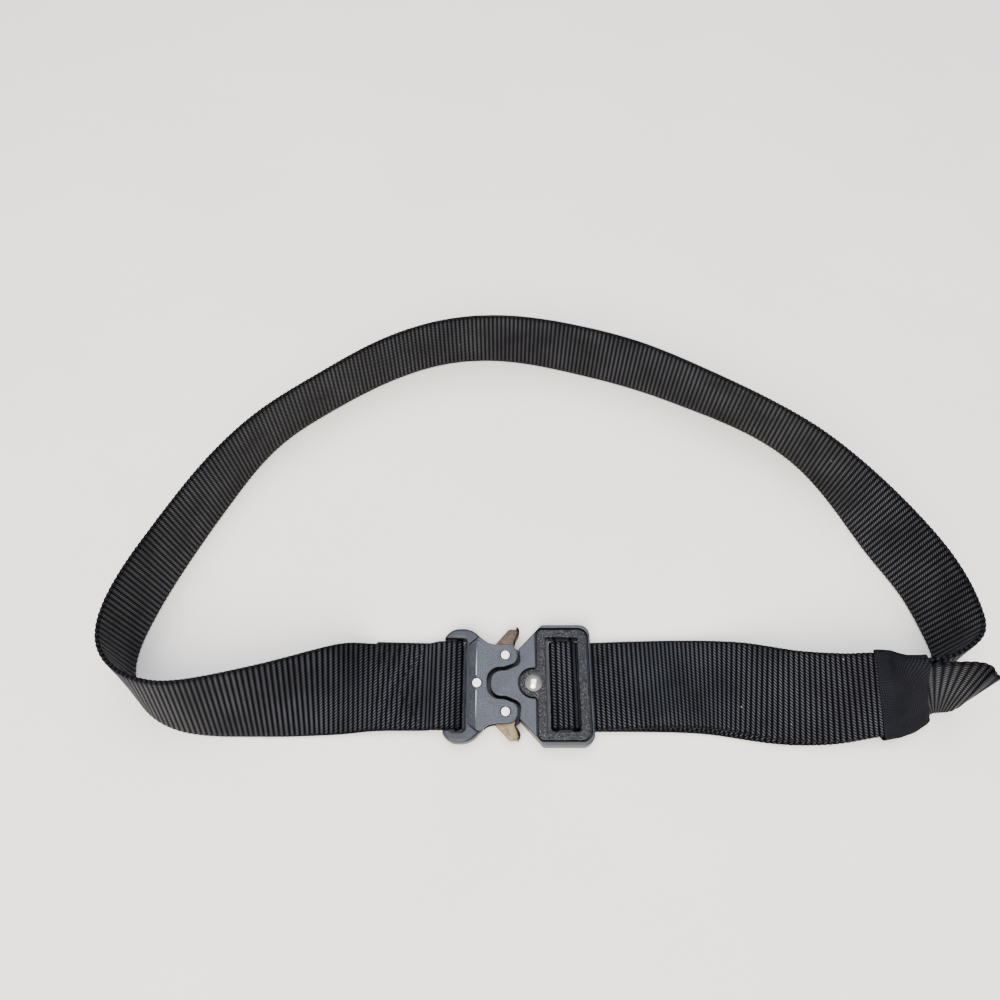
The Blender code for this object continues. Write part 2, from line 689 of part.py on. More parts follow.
def main():
    """Builds the belt."""
    clear_scene()
    belt, cutters = collection("tactical_belt"), collection("cutters")
    cutters.hide_render = True
    webbing = material("black_nylon_webbing", (0.011, 0.011, 0.013), 0.78)
    elastic = material("black_elastic", (0.012, 0.013, 0.02), 0.85)
    coated = material("dark_grey_coated_metal", (0.046, 0.053, 0.068), 0.42, 0.6)
    textured = material("textured_coated_metal", (0.026, 0.029, 0.038), 0.62, 0.5)
    steel = material("bright_steel", (0.80, 0.80, 0.79), 0.28, 1.0)
    chrome = material("chromed_steel", (0.74, 0.72, 0.69), 0.12, 1.0)
    brass = material("brass", (0.62, 0.47, 0.27), 0.34, 1.0)

    make_strap(belt, webbing)
    make_keeper(belt, elastic)
    make_latch_frame(belt, cutters, coated)
    make_latch_cover(belt, cutters, coated)
    for name in RIVET_PLACES:
        make_rivet(name, belt, steel)
    make_lever("lever_upper", 1, belt, cutters, brass)
    make_lever("lever_lower", -1, belt, cutters, brass)
    make_tongue_body(belt, cutters, coated)
    make_adjuster_frame(belt, textured)
    make_adjuster_bar(belt, coated)
    make_ball_stud(belt, chrome)


main()
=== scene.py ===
"""Dressed scene of the tactical belt: fastened, its loop standing on edge, lying on a pale floor.

Sizes in the layout are millimetres: x to the right, y away from the front strap's near edge, z up from
the floor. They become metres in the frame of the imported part. The webbing's route repeats the rows that
the solids have.
"""

import logging
from dataclasses import dataclass
from enum import Enum
from math import acos, asin, cos, pi, radians, sin

import bmesh
import bpy
import numpy as np
from mathutils import Matrix, Vector


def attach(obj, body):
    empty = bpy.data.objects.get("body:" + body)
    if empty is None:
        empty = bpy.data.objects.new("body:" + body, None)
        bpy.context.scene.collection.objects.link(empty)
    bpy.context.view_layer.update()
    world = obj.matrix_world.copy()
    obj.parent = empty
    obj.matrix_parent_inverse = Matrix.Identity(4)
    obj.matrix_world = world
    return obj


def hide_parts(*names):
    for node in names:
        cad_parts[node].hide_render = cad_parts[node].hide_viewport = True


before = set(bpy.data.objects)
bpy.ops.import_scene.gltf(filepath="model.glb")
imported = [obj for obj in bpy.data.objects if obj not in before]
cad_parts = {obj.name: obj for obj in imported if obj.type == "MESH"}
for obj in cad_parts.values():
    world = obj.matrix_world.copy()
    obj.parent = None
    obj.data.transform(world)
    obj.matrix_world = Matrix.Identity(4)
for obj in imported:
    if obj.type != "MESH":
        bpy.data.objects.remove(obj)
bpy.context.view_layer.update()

log = logging.getLogger("tactical_belt")
logging.basicConfig(level=logging.INFO, format="%(name)s: %(message)s")

MM = 0.001
WELD = 2e-6  # metres; points closer than this become one
BELT_ORIGIN = (17.4, 96.55, -0.1)  # the frame's origin in the layout
MIDDLE_Y = 19.6  # the buckle's middle line

Points = list[Vector]
Socket = bpy.types.NodeSocket
Tree = bpy.types.ShaderNodeTree


class Half(Enum):
    """The buckle's two release levers, by the side of its middle line that they stand on."""

    UPPER = 1
    LOWER = -1


class Layer(Enum):
    """The two faces of the webbing, by the sign of their distance from its middle surface."""

    OUTER = 1
    INNER = -1


# Curves and outlines


def place(points: np.ndarray) -> np.ndarray:
    """Layout millimetres to the frame's metres.

    Args:
        points: rows of x, y, z in the layout.

    Returns:
        The same points in metres.
    """
    return (np.asarray(points, float) - BELT_ORIGIN) * MM


def running(steps: np.ndarray) -> np.ndarray:
    """Distance covered before each step and after the last one."""
    return np.concatenate([[0.0], np.cumsum(steps)])


def smooth_rows(rows: np.ndarray, step: float) -> np.ndarray:
    """Natural cubic through the rows.

    Args:
        rows: one row a knot; the first two columns are its place in plan.
        step: about how far apart the samples lie in plan.

    Returns:
        Rows of the same columns along the cubic.
    """
    rows = np.array(rows, float)
    spans = np.hypot(*np.diff(rows[:, :2], axis=0).T)
    at = running(spans)
    count = len(rows)
    matrix, right = np.eye(count), np.zeros_like(rows)
    for i in range(1, count - 1):
        matrix[i, i - 1 : i + 2] = spans[i - 1], 2 * (spans[i - 1] + spans[i]), spans[i]
        right[i] = 6 * ((rows[i + 1] - rows[i]) / spans[i] - (rows[i] - rows[i - 1]) / spans[i - 1])
    bend = np.linalg.solve(matrix, right)
    wanted = np.linspace(0, at[-1], int(at[-1] / step) + 1)
    i = np.clip(np.searchsorted(at, wanted) - 1, 0, count - 2)
    h = spans[i][:, None]
    a, b = (at[i + 1] - wanted)[:, None], (wanted - at[i])[:, None]
    cubic = (bend[i] * a**3 + bend[i + 1] * b**3) / (6 * h)
    return cubic + (rows[i] / h - bend[i] * h / 6) * a + (rows[i + 1] / h - bend[i + 1] * h / 6) * b


def rounded(corners: list[tuple[float, float, float]], per_turn: int = 72) -> Points:
    """Closed outline with arcs at its corners.

    Args:
        corners: x, y and radius of each corner in order.
        per_turn: points that a whole turn would have.

    Returns:
        The outline's points.
    """
    outline = []
    for i, (x, y, radius) in enumerate(corners):
        here = Vector((x, y))
        back = (Vector(corners[i - 1][:2]) - here).normalized()
        on = (Vector(corners[(i + 1) % len(corners)][:2]) - here).normalized()
        half = acos(max(-1.0, min(1.0, back.dot(on)))) / 2
        if radius <= 0 or half > pi / 2 - 0.02:
            outline.append(here)
            continue
        centre = here + (back + on).normalized() * radius / sin(half)
        start = here + back * radius / (sin(half) / cos(half)) - centre
        turn = pi - 2 * half
        sign = 1 if back.cross(on) < 0 else -1
        steps = max(2, round(per_turn * turn / (2 * pi)))
        for k in range(steps + 1):
            outline.append(centre + Matrix.Rotation(sign * turn * k / steps, 2) @ start)
    return outline


def mirrored(half: tuple) -> list[tuple[float, float, float]]:
    """Whole row of corners from the upper half, which runs from the left end to the right end."""
    return list(half) + [(x, -y, radius) for x, y, radius in reversed(half)]


def circle(x: float, y: float, radius: float, sides: int = 48) -> Points:
    """Points of a circle about (x, y)."""
    turns = [2 * pi * k / sides for k in range(sides)]
    return [Vector((x + radius * cos(t), y + radius * sin(t))) for t in turns]


def rectangle(x_range: tuple[float, float], half: float, radius: float) -> Points:
    """Rounded rectangle about the buckle's middle line."""
    left, right = x_range
    return rounded([(x, y, radius) for x, y in ((left, half), (right, half), (right, -half), (left, -half))])


def arc(centre: tuple[float, float], radius: float, start: float, end: float) -> list[tuple[float, float]]:
    """Points (x, z) along an arc.

    Args:
        centre: its centre (x, z).
        radius: its radius.
        start: first angle in degrees from +x.
        end: last angle.

    Returns:
        The points, about a fifth of a millimetre apart.
    """
    steps = max(4, round(abs(radians(end - start)) * radius / 0.2))
    angles = np.radians(np.linspace(start, end, steps + 1))
    return [(centre[0] + radius * cos(a), centre[1] + radius * sin(a)) for a in angles]


# Meshes


def new_object(name: str, mesh: bpy.types.Mesh) -> bpy.types.Object:
    """Links a mesh to the scene as an object of its own.

    Args:
        name: the object's name.
        mesh: its mesh.

    Returns:
        The object.
    """
    obj = bpy.data.objects.new(name, mesh)
    bpy.context.scene.collection.objects.link(obj)
    return obj


def mesh_of(name: str, shape: bmesh.types.BMesh) -> bpy.types.Mesh:
    """Turns a worked shape into a mesh and frees it.

    Args:
        name: the mesh's name.
        shape: the shape.

    Returns:
        The mesh.
    """
    mesh = bpy.data.meshes.new(name)
    shape.to_mesh(mesh)
    shape.free()
    return mesh


def weave_map(mesh: bpy.types.Mesh, corners: np.ndarray) -> None:
    """Gives a mesh its weave map, one row of u and v for each corner of each face."""
    mesh.uv_layers.new(name="weave")
    mesh.uv_layers["weave"].uv.foreach_set("vector", np.asarray(corners, np.float32).ravel())


def grid_object(name: str, points: np.ndarray, uv: np.ndarray | None = None) -> bpy.types.Object:
    """Closed skin through a grid of rings, its two ends filled.

    Args:
        name: the object's name.
        points: rings x places round each ring x 3, in metres.
        uv: rings x places + 1 x 2, the last place being the first one again.

    Returns:
        The object, smooth, with a UV map named weave if uv is given.
    """
    rings, round_it = points.shape[:2]
    i, j = np.meshgrid(np.arange(rings - 1), np.arange(round_it), indexing="ij")
    k = (j + 1) % round_it
    here, ahead = i * round_it, (i + 1) * round_it
    quads = np.stack([here + j, ahead + j, ahead + k, here + k], axis=-1)
    caps = [list(range(round_it)), list(range(rings * round_it - 1, (rings - 1) * round_it - 1, -1))]
    mesh = bpy.data.meshes.new(name)
    mesh.from_pydata(points.reshape(-1, 3).tolist(), [], quads.reshape(-1, 4).tolist() + caps)
    if uv is not None:
        corner = np.stack([uv[i, j], uv[i + 1, j], uv[i + 1, j + 1], uv[i, j + 1]], axis=2).reshape(-1, 2)
        ends = np.concatenate([uv[0, :-1], uv[-1, :-1][::-1]])
        weave_map(mesh, np.concatenate([corner, ends]))
    mesh.shade_smooth()
    return new_object(name, mesh)


def evaluated(obj: bpy.types.Object) -> bpy.types.Mesh:
    """The object's mesh with its modifiers applied."""
    bpy.context.view_layer.update()
    return bpy.data.meshes.new_from_object(obj.evaluated_get(bpy.context.evaluated_depsgraph_get()))


def apply_modifiers(obj: bpy.types.Object) -> bpy.types.Object:
    """Makes the evaluated mesh the object's own and drops its modifiers.

    Args:
        obj: a mesh object.

    Returns:
        The same object.
    """
    mesh = evaluated(obj)
    obj.modifiers.clear()
    obj.data = mesh
    return obj


def facing_out(mesh: bpy.types.Mesh) -> None:
    """Welds a mesh and turns its faces out.

    Args:
        mesh: the mesh, changed in place.
    """
    work = bmesh.new()
    work.from_mesh(mesh)
    bmesh.ops.remove_doubles(work, verts=work.verts, dist=WELD)
    bmesh.ops.recalc_face_normals(work, faces=work.faces)
    work.to_mesh(mesh)
    work.free()


def wound(outline: Points, clockwise: bool) -> Points:
    """The outline running the way asked for."""
    area = sum(a.cross(b) for a, b in zip(outline, outline[1:] + outline[:1]))
    return outline[::-1] if (area < 0) != clockwise else outline


def plate(name: str, outlines: list[Points], low: float, high: float, edge: float = 0.0) -> bpy.types.Object:
    """Flat piece of the buckle with rounded edges.

    Args:
        name: the object's name.
        outlines: the outer outline and then the holes, about the buckle's middle line.
        low: its underside's height.
        high: its top's height.
        edge: radius of its edges.

    Returns:
        The object, its mesh in the frame's metres.
    """
    curve = bpy.data.curves.new(name, "CURVE")
    curve.dimensions = "2D"
    curve.fill_mode = "BOTH"
    curve.extrude = ((high - low) / 2 - edge) * MM
    curve.bevel_depth = edge * MM
    curve.bevel_resolution = 4
    curve.offset = -edge * MM
    for i, outline in enumerate(outlines):
        spline = curve.splines.new("POLY")
        spline.points.add(len(outline) - 1)
        for point, (x, y) in zip(spline.points, wound(outline, i > 0)):
            point.co = (x * MM, y * MM, 0, 1)
        spline.use_cyclic_u = True
    drawn = new_object(name + "_outline", curve)
    mesh = evaluated(drawn)
    bpy.data.objects.remove(drawn, do_unlink=True)
    facing_out(mesh)
    mesh.transform(Matrix.Translation(place((0, MIDDLE_Y, (low + high) / 2))))
    return new_object(name, mesh)


def block(name: str, low: tuple, high: tuple) -> bpy.types.Object:
    """Box between two corners.

    Args:
        name: the object's name.
        low: its lowest corner, y from the buckle's middle line.
        high: its highest corner.

    Returns:
        The box.
    """
    size = np.subtract(high, low) * MM
    middle = place(np.add(low, high) / 2 + (0, MIDDLE_Y, 0))
    shape = bmesh.new()
    bmesh.ops.create_cube(shape, size=1.0, matrix=Matrix.Translation(middle) @ Matrix.Diagonal((*size, 1)))
    return new_object(name, mesh_of(name, shape))


def loft(name: str, rings: list[tuple[float, Points]]) -> bpy.types.Object:
    """Solid through outlines with the same number of points, at rising heights.

    Args:
        name: the object's name.
        rings: height and outline of each ring, about the buckle's middle line.

    Returns:
        The object, its mesh in the frame's metres.
    """
    points = np.array([[place((x, MIDDLE_Y + y, z)) for x, y in outline] for z, outline in rings])
    made = grid_object(name, points)
    facing_out(made.data)
    return made


def combine(
    obj: bpy.types.Object, others: list[bpy.types.Object], operation: str = "DIFFERENCE"
) -> bpy.types.Object:
    """Cuts the others from an object, or joins them to it, and removes them.

    Args:
        obj: the object that changes.
        others: what is cut away or joined.
        operation: DIFFERENCE or UNION.

    Returns:
        The changed object.
    """
    for other in others:
        change = obj.modifiers.new(other.name, "BOOLEAN")
        change.operation = operation
        change.solver = "EXACT"
        change.object = other
    apply_modifiers(obj)
    for other in others:
        bpy.data.objects.remove(other, do_unlink=True)
    return obj


def even_shading(obj: bpy.types.Object, sharp: float = 40.0) -> bpy.types.Object:
    """Smooth shading whose flat faces stay flat and whose corners stay sharp.

    Args:
        obj: a mesh object.
        sharp: edges that turn by more degrees than this are corners.

    Returns:
        The same object.
    """
    obj.data.shade_smooth()
    obj.data.set_sharp_from_angle(angle=radians(sharp))
    weighted = obj.modifiers.new("flat_faces", "WEIGHTED_NORMAL")
    weighted.keep_sharp = True
    weighted.weight = 100
    return apply_modifiers(obj)


def dress(
    obj: bpy.types.Object, finish: bpy.types.Material, body: str, nodes: tuple[str, ...] = ()
) -> bpy.types.Object:
    """Gives a piece its finish, its body and the nodes that it stands for.

    Args:
        obj: the piece.
        finish: its material.
        body: the body that it rides on.
        nodes: the solids that it replaces.

    Returns:
        The same object.
    """
    obj.data.materials.clear()
    obj.data.materials.append(finish)
    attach(obj, body)
    if nodes:
        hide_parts(*nodes)
    log.info("%s: %d faces on %s", obj.name, len(obj.data.polygons), body)
    return obj


# Materials


def linear(colour: str) -> tuple[float, float, float, float]:
    """An sRGB hex colour as linear red, green, blue and alpha."""
    parts = [int(colour[i : i + 2], 16) / 255 for i in (1, 3, 5)]
    return (*[c / 12.92 if c <= 0.04045 else ((c + 0.055) / 1.055) ** 2.4 for c in parts], 1.0)


def add(tree: Tree, kind: str, inputs: dict | None = None, **settings) -> bpy.types.Node:
    """Adds a node with its settings and links.

    Args:
        tree: the material's node tree.
        kind: the node's type without its ShaderNode prefix.
        inputs: value or linked socket of each input, by name or number.
        **settings: the node's own properties.

    Returns:
        The node.
    """
    node = tree.nodes.new("ShaderNode" + kind)
    for name, value in settings.items():
        setattr(node, name, value)
    for key, value in (inputs or {}).items():
        if isinstance(value, bpy.types.NodeSocket):
            tree.links.new(value, node.inputs[key])
        else:
            node.inputs[key].default_value = value
    return node


def new_material(name: str) -> tuple[bpy.types.Material, Tree, bpy.types.Node]:
    """Starts a material.

    Args:
        name: its name.

    Returns:
        The material, its tree and its Principled shader.
    """
    material = bpy.data.materials.new(name)
    material.use_nodes = True
    tree = material.node_tree
    return material, tree, tree.nodes["Principled BSDF"]


@dataclass(frozen=True)
class RibbedNylon:
    """Heavy nylon webbing with cross ribs: near black, painted darker in its grooves as shade, with a cool
    painted highlight on its crowns.
    """

    # groove colour painted darker as shade; crown colour a painted highlight
    groove_shade: str = "#020203"
    body: str = "#0a0a0d"
    crown: str = "#4d5058"
    lint: str = "#8f8f8c"
    yarn_mm: float = 1.3  # coarser than in the photo, so that the yarns show at the picture's size
    slant: float = 1.4
    selvedges: tuple[float, float] = (1.6, 40.7)  # middle of each on the weave map, in millimetres round
    relief: float = 0.00025
    roughness: float = 0.5

    def make(self) -> bpy.types.Material:
        """Builds the material from the weave map: millimetres across and ribs along.

        Returns:
            The material.
        """
        material, tree, shader = new_material("ribbed_nylon_webbing")
        weave = add(tree, "UVMap", uv_map="weave")
        axes = add(tree, "SeparateXYZ", {0: weave.outputs["UV"]})
        across, along = axes.outputs["X"], axes.outputs["Y"]
        phase = add(tree, "Math", {0: along}, operation="FRACT").outputs[0]
        from_crown = add(tree, "Math", {0: phase, 1: 0.5}, operation="SUBTRACT")
        side = add(tree, "Math", {0: from_crown.outputs[0]}, operation="ABSOLUTE").outputs[0]
        rib = add(tree, "Math", {0: along}, operation="FLOOR").outputs[0]
        odd = add(tree, "Math", {0: rib, 1: 2.0}, operation="PINGPONG").outputs[0]
        # The yarns slant over each crown, the other way on the other face, and start half a yarn on from one
        # rib to the next
        yarns = add(tree, "Math", {0: across, 1: self.yarn_mm}, operation="DIVIDE").outputs[0]
        shifted = add(tree, "Math", {0: odd, 1: 0.5, 2: yarns}, operation="MULTIPLY_ADD").outputs[0]
        turned = add(tree, "Math", {0: across, 1: self.selvedges[1]}, operation="GREATER_THAN").outputs[0]
        slant = add(
            tree, "Math", {0: turned, 1: -2 * self.slant, 2: self.slant}, operation="MULTIPLY_ADD"
        ).outputs[0]
        slanted = add(
            tree, "Math", {0: from_crown.outputs[0], 1: slant, 2: shifted}, operation="MULTIPLY_ADD"
        )
        turn = add(tree, "Math", {0: slanted.outputs[0], 1: 2 * pi}, operation="MULTIPLY").outputs[0]
        wave = add(tree, "Math", {0: turn}, operation="COSINE").outputs[0]
        yarn = add(tree, "MapRange", {"Value": wave, "From Min": -0.5, "From Max": 1.0}).outputs[0]
        crown = add(
            tree,
            "MapRange",
            {"Value": side, "From Min": 0.4, "From Max": 0.08},
            interpolation_type="SMOOTHSTEP",
        ).outputs[0]
        place_of = add(tree, "TexCoord").outputs["Object"]
        wear = add(tree, "TexNoise", {"Vector": place_of, "Scale": 55.0, "Detail": 4.0}).outputs[0]
        fuzz = add(tree, "TexNoise", {"Vector": place_of, "Scale": 2600.0, "Detail": 2.0}).outputs[0]
        # Painted highlight on the crown yarns, dimmed in patches
        lit = add(tree, "Math", {0: yarn, 1: crown}, operation="MULTIPLY").outputs[0]
        worn_highlight_patches = add(
            tree, "MapRange", {"Value": wear, "From Min": 0.3, "From Max": 0.7, "To Min": 0.4}
        ).outputs[0]
        lit = add(tree, "Math", {0: lit, 1: worn_highlight_patches}, operation="MULTIPLY").outputs[0]
        # The selvedges, each 3 mm round, are woven flat and dull, so their painted highlight is weaker
        for middle in self.selvedges:
            off = add(tree, "Math", {0: across, 1: middle}, operation="SUBTRACT").outputs[0]
            off = add(tree, "Math", {0: off}, operation="ABSOLUTE").outputs[0]
            face = add(
                tree, "MapRange", {"Value": off, "From Min": 1.3, "From Max": 2.3, "To Min": 0.34}
            ).outputs[0]
            lit = add(tree, "Math", {0: lit, 1: face}, operation="MULTIPLY").outputs[0]
        # Painted shade: the grooves darker than the rest
        ground = add(
            tree,
            "Mix",
            {"Factor": crown, "A": linear(self.groove_shade), "B": linear(self.body)},
            data_type="RGBA",
        )
        # Painted highlight: the lit yarns lightened towards the crown colour
        tones = add(
            tree,
            "Mix",
            {"Factor": lit, "A": ground.outputs["Result"], "B": linear(self.crown)},
            data_type="RGBA",
        )
        specks = add(tree, "TexVoronoi", {"Vector": place_of, "Scale": 260.0, "Randomness": 1.0})
        near = add(
            tree, "MapRange", {"Value": specks.outputs["Distance"], "From Min": 0.1, "From Max": 0.04}
        ).outputs[0]
        chosen = add(tree, "SeparateXYZ", {0: specks.outputs["Color"]}).outputs[0]
        few = add(tree, "Math", {0: chosen, 1: 0.965}, operation="GREATER_THAN").outputs[0]
        speck = add(tree, "Math", {0: near, 1: few}, operation="MULTIPLY").outputs[0]
        colour = add(
            tree,
            "Mix",
            {"Factor": speck, "A": tones.outputs["Result"], "B": linear(self.lint)},
            data_type="RGBA",
        )
        tree.links.new(colour.outputs["Result"], shader.inputs["Base Color"])
        height = add(tree, "Math", {0: lit, 1: 1.0, 2: fuzz}, operation="MULTIPLY_ADD").outputs[0]
        bump = add(tree, "Bump", {"Height": height, "Strength": 0.9, "Distance": self.relief})
        tree.links.new(bump.outputs[0], shader.inputs["Normal"])
        shine = add(tree, "MapRange", {"Value": lit, "To Min": 0.03, "To Max": 0.34}).outputs[0]
        tree.links.new(shine, shader.inputs["Specular IOR Level"])
        shader.inputs["Roughness"].default_value = self.roughness
        return material


@dataclass(frozen=True)
class KnittedElastic:
    """Rubber cored elastic braid: dull near black with a slanting knit, its raised loops lightened as a
    painted highlight.
    """

    body: str = "#030305"
    light: str = "#3a3c44"
    lint: str = "#9a9b9c"
    knit_mm: float = 1.5  # drawn coarse, so that the knit shows at the picture's size
    relief: float = 0.00024
    roughness: float = 0.72

    def make(self) -> bpy.types.Material:
        """Builds the material from the weave map: millimetres round and along.

        Returns:
            The material.
        """
        material, tree, shader = new_material("knitted_elastic")
        weave = add(tree, "UVMap", uv_map="weave")
        axes = add(tree, "SeparateXYZ", {0: weave.outputs["UV"]})
        across, along = axes.outputs["X"], axes.outputs["Y"]
        waves = []
        for lean in (0.75, -1.3):
            mixed = add(tree, "Math", {0: across, 1: lean, 2: along}, operation="MULTIPLY_ADD").outputs[0]
            turned = add(tree, "Math", {0: mixed, 1: 2 * pi / self.knit_mm}, operation="MULTIPLY").outputs[0]
            waves.append(add(tree, "Math", {0: turned}, operation="SINE").outputs[0])
        knit = add(tree, "Math", {0: waves[0], 1: waves[1]}, operation="MULTIPLY").outputs[0]
        knit = add(tree, "MapRange", {"Value": knit, "From Min": -1.0, "From Max": 1.0}).outputs[0]
        place_of = add(tree, "TexCoord").outputs["Object"]
        pale_wear_and_highlight = add(tree, "TexNoise", {"Vector": place_of, "Scale": 90.0, "Detail": 3.0}).outputs[0]
        fuzz = add(tree, "TexNoise", {"Vector": place_of, "Scale": 2400.0, "Detail": 2.0}).outputs[0]
        # Painted highlight on the knit's raised loops, dimmed in patches
        knit = add(tree, "Math", {0: knit, 1: 3.0}, operation="POWER").outputs[0]
        tone = add(tree, "Math", {0: knit, 1: pale_wear_and_highlight, 2: 0.06}, operation="MULTIPLY_ADD").outputs[0]
        mixed = add(
            tree, "Mix", {"Factor": tone, "A": linear(self.body), "B": linear(self.light)}, data_type="RGBA"
        )
        specks = add(tree, "TexVoronoi", {"Vector": place_of, "Scale": 300.0})
        near = add(
            tree, "MapRange", {"Value": specks.outputs["Distance"], "From Min": 0.12, "From Max": 0.05}
        ).outputs[0]
        chosen = add(tree, "SeparateXYZ", {0: specks.outputs["Color"]}).outputs[0]
        few = add(tree, "Math", {0: chosen, 1: 0.95}, operation="GREATER_THAN").outputs[0]
        speck = add(tree, "Math", {0: near, 1: few}, operation="MULTIPLY").outputs[0]
        colour = add(
            tree,
            "Mix",
            {"Factor": speck, "A": mixed.outputs["Result"], "B": linear(self.lint)},
            data_type="RGBA",
        )
        tree.links.new(colour.outputs["Result"], shader.inputs["Base Color"])
        height = add(tree, "Math", {0: fuzz, 1: 0.8, 2: knit}, operation="MULTIPLY_ADD").outputs[0]
        bump = add(tree, "Bump", {"Height": height, "Strength": 0.8, "Distance": self.relief})
        tree.links.new(bump.outputs[0], shader.inputs["Normal"])
        shader.inputs["Roughness"].default_value = self.roughness
        shader.inputs["Specular IOR Level"].default_value = 0.04
        return material


@dataclass(frozen=True)
class CoatedMetal:
    """Coated zinc casting: its grain breaks the shine up with painted glints, its edges are rubbed paler,
    and its walls and gaps are painted dark as shade.
    """

    name: str
    body: str
    # pale colour of rubbed edges, also used for the painted glints and the painted crease highlight
    pale_wear_and_highlight: str
    roughness: float
    grain_mm: float
    relief: float
    metallic: float = 0.35
    edge_wear: float = 0.6
    # share of grains lightened as painted glints
    sparkle: float = 0.0
    crease: tuple[float, float, float] | None = None
    shade_below_z: float = 0.0  # below this height the coating is painted near black as shade
    # colour of the painted shade in gaps and on upright walls
    painted_shade: str = "#0b0c0e"

    def make(self) -> bpy.types.Material:
        """Builds the material; its wear follows the slope of the rounded edges.

        Returns:
            The material.
        """
        material, tree, shader = new_material(self.name)
        place_of = add(tree, "TexCoord").outputs["Object"]
        per_metre = 1000.0 / self.grain_mm
        grain = add(
            tree, "TexNoise", {"Vector": place_of, "Scale": per_metre, "Detail": 3.0, "Roughness": 0.6}
        )
        cells = add(tree, "TexVoronoi", {"Vector": place_of, "Scale": per_metre * 0.8, "Randomness": 1.0})
        cloud = add(tree, "TexNoise", {"Vector": place_of, "Scale": 130.0, "Detail": 5.0}).outputs[0]
        up = add(tree, "SeparateXYZ", {0: add(tree, "NewGeometry").outputs["Normal"]}).outputs["Z"]
        turned = add(
            tree,
            "MapRange",
            {"Value": up, "From Min": 0.97, "From Max": 0.72},
            interpolation_type="SMOOTHSTEP",
        )
        upper = add(
            tree,
            "MapRange",
            {"Value": up, "From Min": 0.15, "From Max": 0.5},
            interpolation_type="SMOOTHSTEP",
        )
        edge = add(
            tree, "Math", {0: turned.outputs[0], 1: upper.outputs[0]}, operation="MULTIPLY"
        ).outputs[0]
        patchy = add(tree, "MapRange", {"Value": cloud, "From Min": 0.42, "From Max": 0.62}).outputs[0]
        wear = add(tree, "Math", {0: edge, 1: patchy}, operation="MULTIPLY").outputs[0]
        wear = add(tree, "Math", {0: wear, 1: self.edge_wear}, operation="MULTIPLY").outputs[0]
        # Painted glints: single grains lightened towards the pale tone, standing in for the coating's
        # sparkle
        painted_glint = add(
            tree,
            "MapRange",
            {"Value": grain.outputs[0], "From Min": 0.52, "From Max": 0.74, "To Max": self.sparkle},
        ).outputs[0]
        factor = add(tree, "Math", {0: wear, 1: painted_glint}, operation="ADD", use_clamp=True).outputs[0]
        # Painted highlight: a thin pale line along the cover's bend
        if self.crease:
            factor = add(
                tree, "Math", {0: self.crease_highlight(tree, place_of), 1: factor}, operation="MAXIMUM"
            ).outputs[0]
        colour = add(
            tree,
            "Mix",
            {"Factor": factor, "A": linear(self.body), "B": linear(self.pale_wear_and_highlight)},
            data_type="RGBA",
        )
        # Painted shade: upright walls and the bottoms of gaps are painted near black where shade falls,
        # which draws each plate's outline in black
        height_of = add(tree, "SeparateXYZ", {0: place_of}).outputs["Z"]
        shade_top = place((0, 0, self.shade_below_z))[2]
        raised = add(
            tree, "MapRange", {"Value": height_of, "From Min": shade_top - 0.3 * MM, "From Max": shade_top}
        ).outputs[0]
        open_face = add(tree, "MapRange", {"Value": up, "From Min": 0.1, "From Max": 0.6}).outputs[0]
        unshaded = add(tree, "Math", {0: raised, 1: open_face}, operation="MULTIPLY").outputs[0]
        colour = add(
            tree,
            "Mix",
            {"Factor": unshaded, "A": linear(self.painted_shade), "B": colour.outputs["Result"]},
            data_type="RGBA",
        )
        tree.links.new(colour.outputs["Result"], shader.inputs["Base Color"])
        rough = add(
            tree,
            "MapRange",
            {"Value": cloud, "From Min": 0.3, "From Max": 0.7, "To Min": self.roughness - 0.06,
             "To Max": self.roughness + 0.07},
        ).outputs[0]
        tree.links.new(rough, shader.inputs["Roughness"])
        height = add(
            tree,
            "Math",
            {0: cells.outputs["Distance"], 1: 0.7, 2: grain.outputs[0]},
            operation="MULTIPLY_ADD",
        )
        bump = add(tree, "Bump", {"Height": height.outputs[0], "Strength": 1.0, "Distance": self.relief})
        tree.links.new(bump.outputs[0], shader.inputs["Normal"])
        shader.inputs["Metallic"].default_value = self.metallic
        return material

    def crease_highlight(self, tree: Tree, place_of: Socket) -> Socket:
        """Mask of a thin pale line painted along a bend in the plate as a highlight, on both sides of its
        middle rivet.

        Args:
            tree: the material's node tree.
            place_of: the place on the piece.

        Returns:
            The mask.
        """
        at_x, start, end = self.crease
        x, y, _ = place((at_x, MIDDLE_Y, 0))
        axes = add(tree, "SeparateXYZ", {0: place_of})
        mask = None
        for axis, middle, half in (("X", x, 0.24 * MM), ("Y", y, end * MM)):
            off = add(tree, "Math", {0: axes.outputs[axis], 1: middle}, operation="SUBTRACT").outputs[0]
            off = add(tree, "Math", {0: off}, operation="ABSOLUTE").outputs[0]
            inside = add(
                tree, "MapRange", {"Value": off, "From Min": half, "From Max": half * 0.4}
            ).outputs[0]
            mask = inside if mask is None else add(
                tree, "Math", {0: mask, 1: inside}, operation="MULTIPLY"
            ).outputs[0]
        past = add(tree, "Math", {0: off, 1: start * MM}, operation="GREATER_THAN").outputs[0]
        return add(tree, "Math", {0: mask, 1: past}, operation="MULTIPLY").outputs[0]


